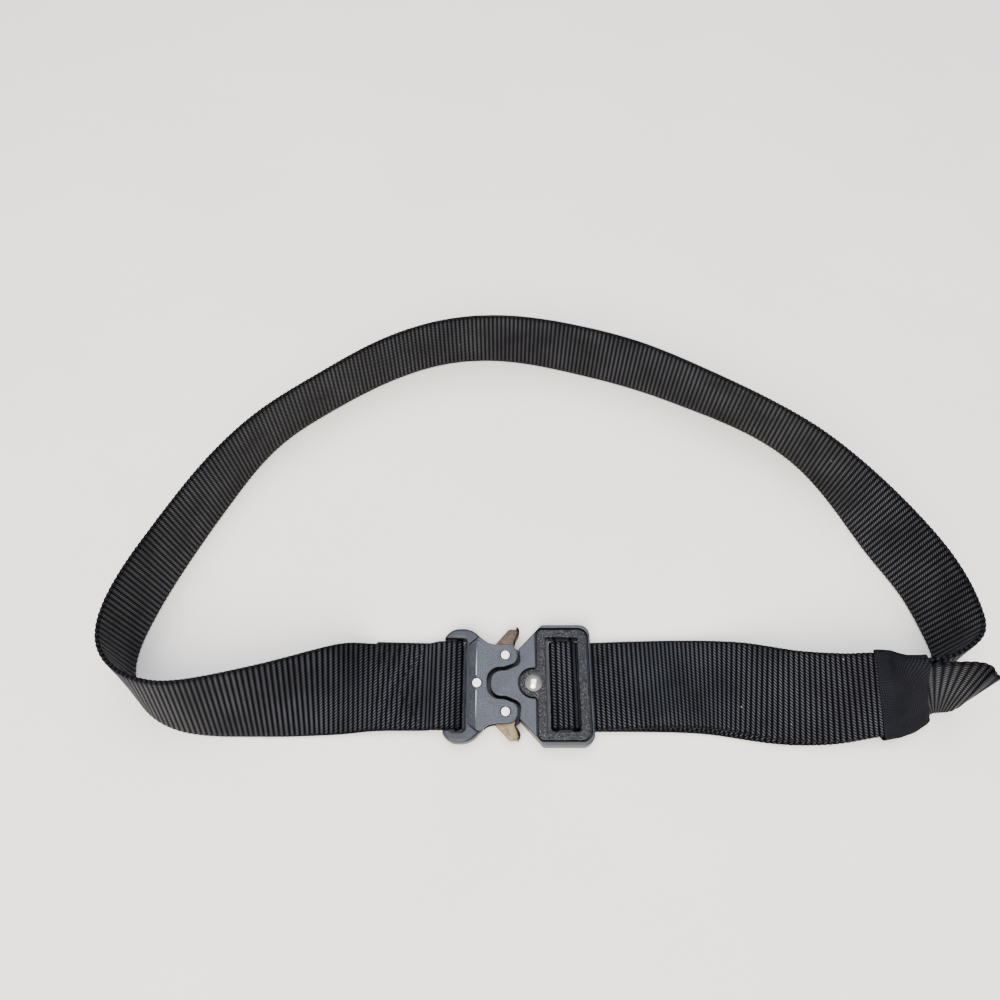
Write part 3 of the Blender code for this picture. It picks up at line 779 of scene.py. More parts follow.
@dataclass(frozen=True)
class BareMetal:
    """Uncoated metal: its own colour, dulled and scratched in places."""

    name: str
    body: str
    dull: str
    roughness: float
    spread: float
    relief: float = 0.00001
    metallic: float = 1.0
    dark_top: str | None = None
    dark_top_z: float = 0.0  # above this height the metal is drawn dark

    def make(self) -> bpy.types.Material:
        """Builds the material.

        Returns:
            The material.
        """
        material, tree, shader = new_material(self.name)
        place_of = add(tree, "TexCoord").outputs["Object"]
        cloud = add(tree, "TexNoise", {"Vector": place_of, "Scale": 320.0, "Detail": 5.0}).outputs[0]
        stretched = add(tree, "Mapping", {"Vector": place_of, "Scale": (1300.0, 900.0, 900.0)})
        scratch = add(
            tree, "TexNoise", {"Vector": stretched.outputs[0], "Scale": 1.0, "Detail": 4.0}
        ).outputs[0]
        patchy = add(tree, "MapRange", {"Value": cloud, "From Min": 0.45, "From Max": 0.75}).outputs[0]
        colour = add(
            tree, "Mix", {"Factor": patchy, "A": linear(self.body), "B": linear(self.dull)}, data_type="RGBA"
        )
        # Above a given height the metal is drawn dark, along the levers' thumb lips
        if self.dark_top:
            start = place((0, 0, self.dark_top_z))[2]
            high = add(tree, "SeparateXYZ", {0: place_of}).outputs["Z"]
            top_darkening = add(
                tree, "MapRange", {"Value": high, "From Min": start, "From Max": start + 0.4 * MM}
            ).outputs[0]
            colour = add(
                tree,
                "Mix",
                {"Factor": top_darkening, "A": colour.outputs["Result"], "B": linear(self.dark_top)},
                data_type="RGBA",
            )
        tree.links.new(colour.outputs["Result"], shader.inputs["Base Color"])
        rough = add(
            tree,
            "MapRange",
            {"Value": scratch, "From Min": 0.3, "From Max": 0.7, "To Min": self.roughness,
             "To Max": self.roughness + self.spread},
        ).outputs[0]
        tree.links.new(rough, shader.inputs["Roughness"])
        bump = add(tree, "Bump", {"Height": scratch, "Strength": 0.6, "Distance": self.relief})
        tree.links.new(bump.outputs[0], shader.inputs["Normal"])
        shader.inputs["Metallic"].default_value = self.metallic
        return material


@dataclass(frozen=True)
class BondedThread:
    """Bonded polyester sewing thread: black, twisted and worn dull, with faint painted highlights along its
    twist, so it hardly shows on the webbing.
    """

    body: str = "#060607"
    light: str = "#121316"
    roughness: float = 0.7

    def make(self) -> bpy.types.Material:
        """Builds the material.

        Returns:
            The material.
        """
        material, tree, shader = new_material("bonded_thread")
        place_of = add(tree, "TexCoord").outputs["Object"]
        # Painted highlights along the twist
        twist = add(tree, "TexWave", {"Vector": place_of, "Scale": 420.0, "Distortion": 2.0}).outputs[1]
        colour = add(
            tree, "Mix", {"Factor": twist, "A": linear(self.body), "B": linear(self.light)}, data_type="RGBA"
        )
        tree.links.new(colour.outputs["Result"], shader.inputs["Base Color"])
        bump = add(tree, "Bump", {"Height": twist, "Strength": 0.5, "Distance": 0.00005})
        tree.links.new(bump.outputs[0], shader.inputs["Normal"])
        shader.inputs["Roughness"].default_value = self.roughness
        shader.inputs["Specular IOR Level"].default_value = 0.08
        return material


@dataclass(frozen=True)
class Finishes:
    """Every finish of the belt."""

    webbing: bpy.types.Material
    elastic: bpy.types.Material
    coated: bpy.types.Material
    creased: bpy.types.Material
    cast: bpy.types.Material
    sanded: bpy.types.Material
    steel: bpy.types.Material
    chrome: bpy.types.Material
    brass: bpy.types.Material
    # brass painted darker as shade, for the upper lever
    shaded_brass: bpy.types.Material
    thread: bpy.types.Material


def make_finishes() -> Finishes:
    """Builds every finish.

    Returns:
        The finishes.
    """
    return Finishes(
        webbing=RibbedNylon().make(),
        elastic=KnittedElastic().make(),
        # Satin baked coating on a smooth casting: slate grey, a fine orange peel
        coated=CoatedMetal(
            "satin_coated_zinc", "#1c1f25", "#676b72", 0.42, 0.5, 0.00004,
            edge_wear=0.3, sparkle=0.22, shade_below_z=5.9,
        ).make(),
        # The same on the deeper tongue casting
        cast=CoatedMetal(
            "satin_coated_casting", "#2a2d34", "#767a81", 0.42, 0.5, 0.00004,
            edge_wear=0.3, sparkle=0.2, shade_below_z=7.2,
        ).make(),
        # The same on the bent cover plate, its bend drawn as a thin pale line of painted highlight
        creased=CoatedMetal(
            "satin_coated_plate", "#2a2e33", "#a9adb4", 0.42, 0.5, 0.00004, edge_wear=0.2, sparkle=0.2,
            crease=(-10.2, 3.2, 16.2),
        ).make(),
        # The same coating over a sand cast face: darker, its grains lightened one by one as painted glints
        sanded=CoatedMetal(
            "sand_textured_zinc", "#0b0d10", "#6e737b", 0.4, 0.6, 0.00035,
            edge_wear=0.3, sparkle=0.6, shade_below_z=6.9,
        ).make(),
        # Turned rivet heads: pale, finely scratched
        steel=BareMetal("turned_steel", "#fbfbfa", "#e4e4e2", 0.45, 0.15, metallic=0.35).make(),
        # Plated ball: nearly a mirror, with a few dull spots
        chrome=BareMetal("chromed_steel", "#e9e5df", "#c4b8a8", 0.15, 0.1, metallic=0.85).make(),
        # Stamped brass: warm, tarnished unevenly
        brass=BareMetal(
            "stamped_brass", "#7b6d54", "#554a35", 0.4, 0.2, 0.00003, dark_top="#231c16", dark_top_z=6.4
        ).make(),
        # The upper lever's brass, painted darker as shade, a greyish brown
        shaded_brass=BareMetal(
            "brass_with_painted_shade", "#51453b", "#352c26", 0.42, 0.2, 0.00003, dark_top="#231c16", dark_top_z=6.4
        ).make(),
        thread=BondedThread().make(),
    )


# Webbing


@dataclass
class Webbing:
    """The strap, one length of ribbed webbing from its sewn-back end to its tip."""

    width: float = 38.0
    thick: float = 2.0
    gap: float = 0.3
    step: float = 6.0
    fold_end: tuple[float, float] = (-55.0, 1.8)
    fold_fall_x: tuple[float, float] = (-25.6, -32.0)
    tip_radius: float = 12.0
    bar_thick: float = 2.5
    latch_bar_right_x: float = -18.2
    adjuster_bar_x: tuple[float, float] = (23.8, 31.3)
    sewn: tuple[float, float] = (57.0, 81.0)
    window_right_x: float = 33.8
    tail_leaves_x: float = 184.0
    valley_depth: float = 0.36
    sampling: float = 0.25
    top_columns: int = 9
    # Lower edge round the waist, seen from above: x, y, lean of the width, lift of the lowest corner
    loop: tuple = (
        (-33.0, 0.4, 0.0, 2.3),
        (-43.0, 0.4, 0.0, 2.3),
        (-55.0, 0.1, 2.0, 2.3),
        (-65.0, -0.6, 18.0, 0.8),
        (-77.0, -1.0, 37.0, 0.0),
        (-90.0, -1.3, 49.0, 0.0),
        (-104.0, -1.2, 58.0, 0.0),
        (-121.0, -0.8, 66.0, 0.0),
        (-139.0, 2.5, 73.0, 0.0),
        (-154.0, 12.5, 80.0, 0.0),
        (-161.0, 27.0, 88.0, 0.0),
        (-158.5, 48.0, 93.5, 0.0),
        (-148.0, 77.0, 93.0, 0.0),
        (-133.0, 110.0, 91.0, 0.0),
        (-112.0, 145.0, 84.0, 0.0),
        (-90.5, 164.0, 83.0, 0.0),
        (-61.5, 183.5, 85.0, 0.0),
        (-27.0, 197.0, 86.0, 0.0),
        (5.5, 198.0, 88.0, 0.0),
        (38.5, 190.5, 90.0, 0.0),
        (70.5, 180.0, 89.0, 0.0),
        (100.5, 166.5, 85.0, 0.0),
        (130.0, 150.0, 82.0, 0.0),
        (148.0, 134.0, 84.0, 0.0),
        (163.0, 109.5, 92.0, 0.0),
        (176.0, 80.0, 101.0, 0.0),
        (185.0, 62.5, 100.0, 0.0),
        (191.0, 42.0, 97.0, 0.0),
        (192.3, 34.0, 93.0, 0.0),
        (190.5, 25.0, 83.0, 0.5),
        (186.0, 15.5, 70.0, 1.3),
        (179.0, 7.0, 56.5, 1.8),
        (170.0, 1.0, 47.0, 1.9),
        (159.0, -1.7, 40.0, 1.9),
        (146.0, -4.0, 35.0, 1.0),
        (132.0, -5.0, 30.0, 0.1),
        (118.0, -4.7, 24.0, 0.0),
        (104.0, -3.0, 14.0, 0.0),
        (90.0, -0.9, 4.0, 0.0),
        (72.0, 0.2, 0.0, 0.0),
        (52.0, 0.4, 0.0, 0.0),
        (40.0, 0.4, 0.0, 0.0),
    )
    # How the tail lies on the strap: x, slip towards the inside, gap under it
    tail_lay: tuple = (
        (40.0, 0.2, 0.45),
        (100.0, 2.4, 0.45),
        (140.0, 2.2, 0.55),
        (160.0, 1.6, 0.85),
        (185.0, 0.8, 1.0),
    )
    # Past the keeper the tail stands free: x, y, lean, lift
    free_tail: tuple = (
        (188.0, 8.0, 74.0, 6.0),
        (192.4, 9.9, 82.0, 7.8),
        (195.6, 12.7, 88.0, 9.2),
    )
    # How closely the ribs lie: millimetres of strap left to the tip, and the pitch there
    crowding: tuple = (
        (0.0, 2.05),
        (60.0, 2.15),
        (95.0, 2.1),
        (112.0, 1.75),
        (132.0, 1.75),
        (148.0, 2.15),
    )

    def edges_of(self, rows: np.ndarray) -> tuple[np.ndarray, np.ndarray]:
        """Lower and upper edge of the webbing.

        Args:
            rows: x, y, lean, lift along a path that runs round the waist.

        Returns:
            The two edges' points in the layout.
        """
        rows = np.array(rows, float)
        along = np.gradient(rows[:, :2], axis=0)
        along /= np.linalg.norm(along, axis=1)[:, None]
        lean = np.radians(rows[:, 2])
        inward = np.stack([along[:, 1], -along[:, 0], np.zeros(len(rows))], axis=1)
        width = inward * np.cos(lean)[:, None] + np.array([0.0, 0.0, 1.0]) * np.sin(lean)[:, None]
        low = np.column_stack([rows[:, :2], rows[:, 3] + self.thick / 2 * np.abs(np.cos(lean))])
        return low, low + width * self.width

    def outward(self, low: np.ndarray, high: np.ndarray) -> list[np.ndarray]:
        """Normal of the outer face along both edges."""
        normals = [np.cross(high - low, np.gradient(edge, axis=0)) for edge in (low, high)]
        return [normal / np.linalg.norm(normal, axis=1)[:, None] for normal in normals]

    def wrap_radius(self) -> float:
        """Radius of the webbing's middle surface round a bar."""
        return self.bar_thick / 2 + self.gap + self.thick / 2

    def sewn_back_end(self) -> list[tuple[float, float]]:
        """Path of the fold: from the strap's end, round the latch bar, down onto its own lower layer.

        Returns:
            Points x, z in the layout.
        """
        radius = self.wrap_radius()
        wrap_x = self.latch_bar_right_x - self.bar_thick / 2
        bar_z = self.thick + self.gap + self.bar_thick / 2
        low_z, high_z = self.thick / 2, self.thick / 2 + 2 * radius
        lower = [(x, low_z) for x in np.linspace(self.fold_end[0], wrap_x - 0.5, 60)]
        drop = high_z - (low_z + self.thick + self.gap)
        start_x, end_x = self.fold_fall_x
        part = np.linspace(0, 1, 24)
        fall = [(start_x + (end_x - start_x) * t, high_z - drop * (1 - cos(pi * t)) / 2) for t in part]
        return lower + arc((wrap_x, bar_z), radius, -90, 90) + fall

    def adjuster_pass(self) -> list[tuple[float, float]]:
        """Path through the adjuster: under the bar, over it, and out again as the tail.

        Returns:
            Points x, z in the layout.
        """
        radius, back_radius = self.wrap_radius(), 1.5
        left_x = self.adjuster_bar_x[0] + self.bar_thick / 2
        right_x = self.adjuster_bar_x[1] - self.bar_thick / 2
        bar_z = self.thick + self.gap + self.bar_thick / 2
        low_z, high_z = self.thick / 2, self.thick / 2 + 2 * radius
        tail_z = low_z + self.thick + self.tail_lay[0][2]
        turn = acos(1 - (high_z - tail_z) / (radius + back_radius))
        level_x = right_x + (radius + back_radius) * sin(turn)
        under = [(x, low_z) for x in np.linspace(39.0, left_x + 0.5, 40)]
        over = [(x, high_z) for x in np.linspace(left_x + 0.3, right_x - 0.3, 8)]
        wrap = arc((left_x, bar_z), radius, -90, -270)
        down = arc((right_x, bar_z), radius, 90, 90 - turn * 180 / pi)
        out = arc((level_x, tail_z + back_radius), back_radius, -90 - turn * 180 / pi, -90)
        return under + wrap + over + down + out[1:]

    def flat_edges(self, path: list[tuple[float, float]], y_from: float, y_to: float) -> tuple:
        """Both edges along a level path whose near edge slides from one y to another.

        Args:
            path: points x, z in the layout.
            y_from: the near edge's y at its start.
            y_to: the near edge's y at its end.

        Returns:
            The two edges' points in the layout.
        """
        x, z = np.array(path).T
        travelled = running(np.hypot(np.diff(x), np.diff(z)))
        low = np.column_stack([x, y_from + (y_to - y_from) * travelled / travelled[-1], z])
        return low, low + np.array([0.0, self.width, 0.0])

    def tail_edges(self) -> tuple[np.ndarray, np.ndarray]:
        """Both edges of the tail: on top of the strap from the adjuster to the keeper, then free.

        Returns:
            The two edges' points in the layout.
        """
        rows = smooth_rows(self.loop, self.step)
        low, high = self.edges_of(rows)
        low_normal, high_normal = self.outward(low, high)
        across = (high - low) / self.width
        lay_x, slips, gaps = np.array(self.tail_lay).T
        slip = np.interp(rows[:, 0], lay_x, slips)[:, None]
        above = np.interp(rows[:, 0], lay_x, gaps)[:, None] + self.thick
        low_on = low + low_normal * above + across * slip
        high_on = high + high_normal * above + across * slip
        held = (rows[:, 0] > self.window_right_x) & (rows[:, 0] < self.tail_leaves_x)
        held &= rows[:, 1] < MIDDLE_Y
        held_edges = np.column_stack([low_on, high_on])[held][::-1]
        free_low, free_high = self.edges_of([*reversed(self.free_tail), rows[held][0]])
        free_edges = np.column_stack([free_low, free_high])[:-1][::-1]
        edges = smooth_rows(np.concatenate([held_edges, free_edges]), self.sampling)
        return edges[:, :3], edges[:, 3:]

    def route(self) -> np.ndarray:
        """Both edges of the whole strap, evenly sampled and eased where its stretches meet.

        Returns:
            Rows of six columns: lower edge and upper edge in the layout.
        """
        fold = self.flat_edges(self.sewn_back_end(), self.fold_end[1], self.loop[0][1])
        loop = self.edges_of(smooth_rows(self.loop, self.sampling))
        tail = self.tail_edges()
        passed = self.flat_edges(self.adjuster_pass(), self.loop[-1][1], tail[0][0, 1])
        known = np.column_stack([np.concatenate(edges) for edges in zip(fold, loop, passed, tail)])
        at = self.travelled(known)
        keep = np.concatenate([[True], np.diff(at) > 0.02])
        wanted = np.arange(0, at[-1], self.sampling)
        even = np.column_stack([np.interp(wanted, at[keep], column[keep]) for column in known.T])
        kernel = np.exp(-0.5 * (np.arange(-6, 7) * self.sampling / 0.45) ** 2)
        kernel /= kernel.sum()
        padded = np.concatenate([2 * even[0] - even[6:0:-1], even, 2 * even[-1] - even[-2:-8:-1]])
        return np.column_stack([np.convolve(column, kernel, "valid") for column in padded.T])

    def travelled(self, edges: np.ndarray) -> np.ndarray:
        """Distance along the middle of the strap at each row of its edges."""
        middle = (edges[:, :3] + edges[:, 3:]) / 2
        return running(np.linalg.norm(np.diff(middle, axis=0), axis=1))

    def rib_rows(self, length: float) -> tuple[np.ndarray, np.ndarray, np.ndarray]:
        """Where the sections of every rib lie.

        Args:
            length: the strap's length.

        Returns:
            Distance along the strap, count of ribs and thickness share at each section.
        """
        at = np.arange(0, length, 0.5)
        left_x, pitches = np.array(self.crowding).T
        pitch = np.interp(length - at, left_x, pitches)
        count_at = running(0.5 / pitch[:-1])
        ribs = int(count_at[-1])
        phase = np.array([0.0, 0.12, 0.3, 0.5, 0.7, 0.88])
        depth = np.array([1.0, 0.48, 0.1, 0.0, 0.1, 0.48]) * self.valley_depth
        count = (np.arange(ribs)[:, None] + phase).ravel()
        rng = np.random.default_rng(7)
        uneven = rng.normal(0, 0.015, ribs)[:, None] + np.zeros(6)
        share = (1 - depth[None, :] + uneven).ravel()
        return np.interp(count, count_at, at), count, np.clip(share, 0.5, 1.02)

    def build(self) -> bpy.types.Object:
        """Builds the ribbed mesh.

        Returns:
            The strap with its weave map.
        """
        edges = self.route()
        at = self.travelled(edges)
        where, count, share = self.rib_rows(at[-1])
        rows = np.column_stack([np.interp(where, at, column) for column in edges.T])
        to_end = at[-1] - where
        inside = np.clip(self.tip_radius - to_end, 0, self.tip_radius)
        cut = self.tip_radius - np.sqrt(self.tip_radius**2 - inside**2)
        ends = np.clip(np.minimum(where, to_end - to_end[-1]) / 0.7, 0, 1)
        share = share * (0.55 + 0.45 * np.sqrt(ends))
        half = self.thick / 2
        bend = np.radians([90, 60, 30, 0, -30, -60, -90])
        straight = np.linspace(half, self.width - half, self.top_columns + 2)[1:-1]
        near_bend = [(half - half * cos(a), half * sin(a)) for a in bend[::-1]]
        far_bend = [(self.width - half + half * cos(a), half * sin(a)) for a in bend]
        ring = near_bend + [(d, half) for d in straight] + far_bend + [(d, -half) for d in straight[::-1]]
        across, up = np.array(ring).T
        low, high = rows[:, :3], rows[:, 3:]
        unit = (high - low) / self.width
        d = across[None, :] * (self.width - cut)[:, None] / self.width
        surface = low[:, None] + unit[:, None] * d[..., None]
        tangent = np.gradient(surface, axis=0)
        normal = np.cross(np.broadcast_to(unit[:, None], tangent.shape), tangent)
        normal /= np.linalg.norm(normal, axis=2)[..., None]
        points = surface + normal * (up[None, :] * share[:, None])[..., None]
        # Along the box stitching the ribs wander
        sewn = np.clip(np.minimum(where - self.sewn[0], self.sewn[1] - where) / 2.5, 0, 1)[:, None]
        wander = np.sin(0.62 * across + 0.9 * where[:, None]) + np.sin(0.41 * across - 1.9 * where[:, None])
        length_of = np.linalg.norm(tangent, axis=2)[..., None]
        points += tangent / length_of * (0.1 * sewn * wander)[..., None]
        # The selvedge draws in at each valley
        far_pull = np.clip((across - self.width + half) / half, 0, 1) * -1
        edge_pull = np.where(across < half, 1 - across / half, far_pull)
        points += unit[:, None] * (edge_pull[None, :] * (1 - share[:, None]) * 0.5)[..., None]
        along_ring = running(np.linalg.norm(np.diff([*ring, ring[0]], axis=0), axis=1))
        shape = (len(rows), len(ring) + 1)
        uv = np.stack([np.broadcast_to(along_ring, shape), np.broadcast_to(count[:, None], shape)], axis=-1)
        strap = grid_object("ribbed_strap", place(points), uv)
        self.length = at[-1]
        return strap


@dataclass
class BoxStitching:
    """Box with a cross sewn through the folded end."""

    x_range: tuple[float, float] = (-55.5, -33.8)
    y_range: tuple[float, float] = (3.2, 34.8)
    stitch: float = 2.7
    space: float = 0.55
    radius: float = 0.26
    sides: int = 6
    top_z: float = 4.3
    bottom_z: float = 0.05

    def lines(self) -> list[tuple[np.ndarray, np.ndarray]]:
        """Seams of the box and of its cross.

        Returns:
            Start and end of each seam in plan.
        """
        (x0, x1), (y0, y1) = self.x_range, self.y_range
        corners = [np.array(c) for c in ((x0, y0), (x1, y0), (x1, y1), (x0, y1))]
        box = [(corners[i], corners[(i + 1) % 4]) for i in range(4)]
        return box + [(corners[0], corners[2]), (corners[1], corners[3])]

    def stitch_rings(self, start: np.ndarray, end: np.ndarray, height: float, face: Layer) -> np.ndarray:
        """Rings of one stitch, a short thread that rises from the webbing and dips back.

        Args:
            start: where it comes out, in plan.
            end: where it goes in.
            height: height of the webbing's face.
            face: the face that it lies on.

        Returns:
            Rings x sides x 3 in the layout.
        """
        along = (end - start) / np.linalg.norm(end - start)
        side = np.array([-along[1], along[0], 0.0])
        rings = []
        for t in np.linspace(0, 1, 7):
            x, y = start + (end - start) * t
            bow = sin(pi * t)
            middle = np.array([x, y, height + face.value * (0.22 * bow - 0.3)])
            thick = self.radius * (0.55 + 0.45 * bow)
            angles = 2 * pi * np.arange(self.sides) / self.sides
            spokes = np.cos(angles)[:, None] * side + np.sin(angles)[:, None] * (0.0, 0.0, 1.0)
            rings.append(middle + thick * spokes)
        return np.array(rings)

    def build(self) -> bpy.types.Object:
        """Builds every stitch on both faces as one mesh.

        Returns:
            The stitching.
        """
        shape = bmesh.new()
        for face, height in ((Layer.OUTER, self.top_z), (Layer.INNER, self.bottom_z)):
            for start, end in self.lines():
                reach = np.linalg.norm(end - start)
                number = int(reach / (self.stitch + self.space))
                step = (end - start) / number
                for k in range(number):
                    first = start + step * (k + self.space / (2 * (self.stitch + self.space)))
                    last = first + step * self.stitch / (self.stitch + self.space)
                    rings = place(self.stitch_rings(first, last, height, face))
                    verts = [[shape.verts.new(point) for point in ring] for ring in rings]
                    for a, b in zip(verts, verts[1:]):
                        for j in range(self.sides):
                            nxt = (j + 1) % self.sides
                            shape.faces.new((a[j], a[nxt], b[nxt], b[j]))
                    shape.faces.new(verts[0][::-1])
                    shape.faces.new(verts[-1])
        bmesh.ops.recalc_face_normals(shape, faces=shape.faces)
        mesh = mesh_of("box_stitching", shape)
        mesh.shade_smooth()
        return new_object("box_stitching", mesh)


@dataclass
class Keeper:
    """Elastic loop round the strap and its tail."""

    webbing: Webbing
    left_x: float = 159.2
    right_x: float = 178.0
    slants: tuple[float, float] = (0.9, -4.5)
    wall: float = 0.5
    room: float = 0.12
    flare: float = 0.5
    slack: float = 0.7
    corner: float = 2.9
    rows: int = 40

    def section(self, room: float) -> np.ndarray:
        """Outer outline of the loop: across the strap and away from it.

        Args:
            room: space left between the loop and what it holds.

        Returns:
            Points across and away, in millimetres.
        """
        web = self.webbing
        deep = 2 * web.thick + web.tail_lay[-1][2]
        half_deep = deep / 2 + room + self.wall
        half_wide = web.width / 2 + self.slack + self.room + self.wall
        side = [(half_wide * k / 6, half_deep, self.corner if abs(k) == 6 else 0.0) for k in range(-6, 7)]
        corners = side + [(-a, -b, radius) for a, b, radius in side]
        return np.array([(a, b) for a, b in rounded(corners, 28)])

    def build(self) -> bpy.types.Object:
        """Builds the loop as a wall with round rims.

        Returns:
            The keeper with its weave map.
        """
        web = self.webbing
        low, high = web.edges_of(smooth_rows(web.loop, web.step))
        front = (low[:, 1] < MIDDLE_Y) & (low[:, 0] > 0)
        known = np.column_stack([low, high, *web.outward(low, high)])[front][::-1]
        deep = 2 * web.thick + web.tail_lay[-1][2]
        rings = []
        for part in np.linspace(0, 1, self.rows):
            outline = self.section(self.room + self.flare * part**2)
            share = (outline[:, 0] / np.abs(outline[:, 0]).max() + 1) / 2
            found = []
            for left_ahead, right_ahead in ((0.0, 0.0), self.slants):
                left, right = self.left_x - left_ahead, self.right_x - right_ahead
                x = left + (right - left) * part
                at_x = np.array([np.interp(x, known[:, 0], column) for column in known.T]).reshape(4, 3)
                across = (at_x[1] - at_x[0]) / web.width
                normal = at_x[2] * (1 - share[:, None]) + at_x[3] * share[:, None]
                found.append(at_x[0] + across * (web.width / 2 + self.slack + outline[:, :1])
                             + normal * ((deep - web.thick) / 2 + outline[:, 1:]))
            rings.append(found[0] * (1 - share[:, None]) + found[1] * share[:, None])
        rings = np.array(rings)
        closed = np.concatenate([rings, rings[:, :1]], axis=1)
        around = np.linalg.norm(np.diff(closed, axis=1), axis=2).sum(axis=1)
        self.girth = float(around.mean()) - pi * self.wall
        widths = np.linalg.norm(np.diff(rings, axis=0), axis=2).sum(axis=0)
        self.wide, self.mean_wide = float(widths.max()), float(widths.mean())
        u = running(np.linalg.norm(np.diff(closed[0], axis=0), axis=1))
        v = np.linspace(0, self.right_x - self.left_x, self.rows)
        skin = self.skin(place(rings), u, v)
        wall = skin.modifiers.new("wall", "SOLIDIFY")
        wall.thickness = self.wall * MM
        wall.offset = -1.0
        wall.use_even_offset = True
        rim = skin.modifiers.new("rim", "BEVEL")
        rim.width = 0.35 * MM
        rim.segments = 3
        rim.limit_method = "ANGLE"
        rim.angle_limit = radians(60)
        return apply_modifiers(skin)

    def skin(self, rings: np.ndarray, u: np.ndarray, v: np.ndarray) -> bpy.types.Object:
        """Open tube through the rings.

        Args:
            rings: rings x places x 3 in metres.
            u: millimetres round the tube, one more than the places.
            v: millimetres along it.

        Returns:
            The tube with its weave map.
        """
        count, round_it = rings.shape[:2]
        faces, corners = [], []
        for i in range(count - 1):
            here, ahead = i * round_it, (i + 1) * round_it
            for j in range(round_it):
                k = (j + 1) % round_it
                faces.append((here + j, ahead + j, ahead + k, here + k))
                corners += [(u[j], v[i]), (u[j], v[i + 1]), (u[j + 1], v[i + 1]), (u[j + 1], v[i])]
        mesh = bpy.data.meshes.new("elastic_keeper")
        mesh.from_pydata(rings.reshape(-1, 3).tolist(), [], faces)
        weave_map(mesh, corners)
        mesh.shade_smooth()
        return new_object("elastic_keeper", mesh)


# Buckle

CLEAR = 0.3  # room between two pieces
THROUGH = (-5.0, 20.0)  # heights that go past every plate
RIVET_RADIUS = 1.9
HOLE_RADIUS = 2.2
BAR_THICK = 2.5
BAR_Z = 3.55
RIVET_PLACES = {"rivet_latch": (-9.9, 0.0), "rivet_upper": (2.3, 12.1), "rivet_lower": (2.3, -12.1)}


def round_bar(name: str, x_range: tuple[float, float], half: float) -> bpy.types.Object:
    """Flat bar with round edges lying across the buckle.

    Args:
        name: the object's name.
        x_range: its left and right side.
        half: half its length.

    Returns:
        The bar.
    """
    radius, half_x = BAR_THICK / 2, (x_range[1] - x_range[0]) / 2
    corner = radius - 0.02
    section = rounded([(-half_x, radius, corner), (half_x, radius, corner),
                       (half_x, -radius, corner), (-half_x, -radius, corner)], 40)
    bar = plate(name, [section], -half, half, 0.3)
    centre = place((0, MIDDLE_Y, 0))
    to_middle = Matrix.Translation(-Vector(centre))
    turned = Matrix.Rotation(radians(90), 4, "X")
    seat = Matrix.Translation(place((sum(x_range) / 2, MIDDLE_Y, BAR_Z)))
    bar.data.transform(seat @ turned @ to_middle)
    return bar


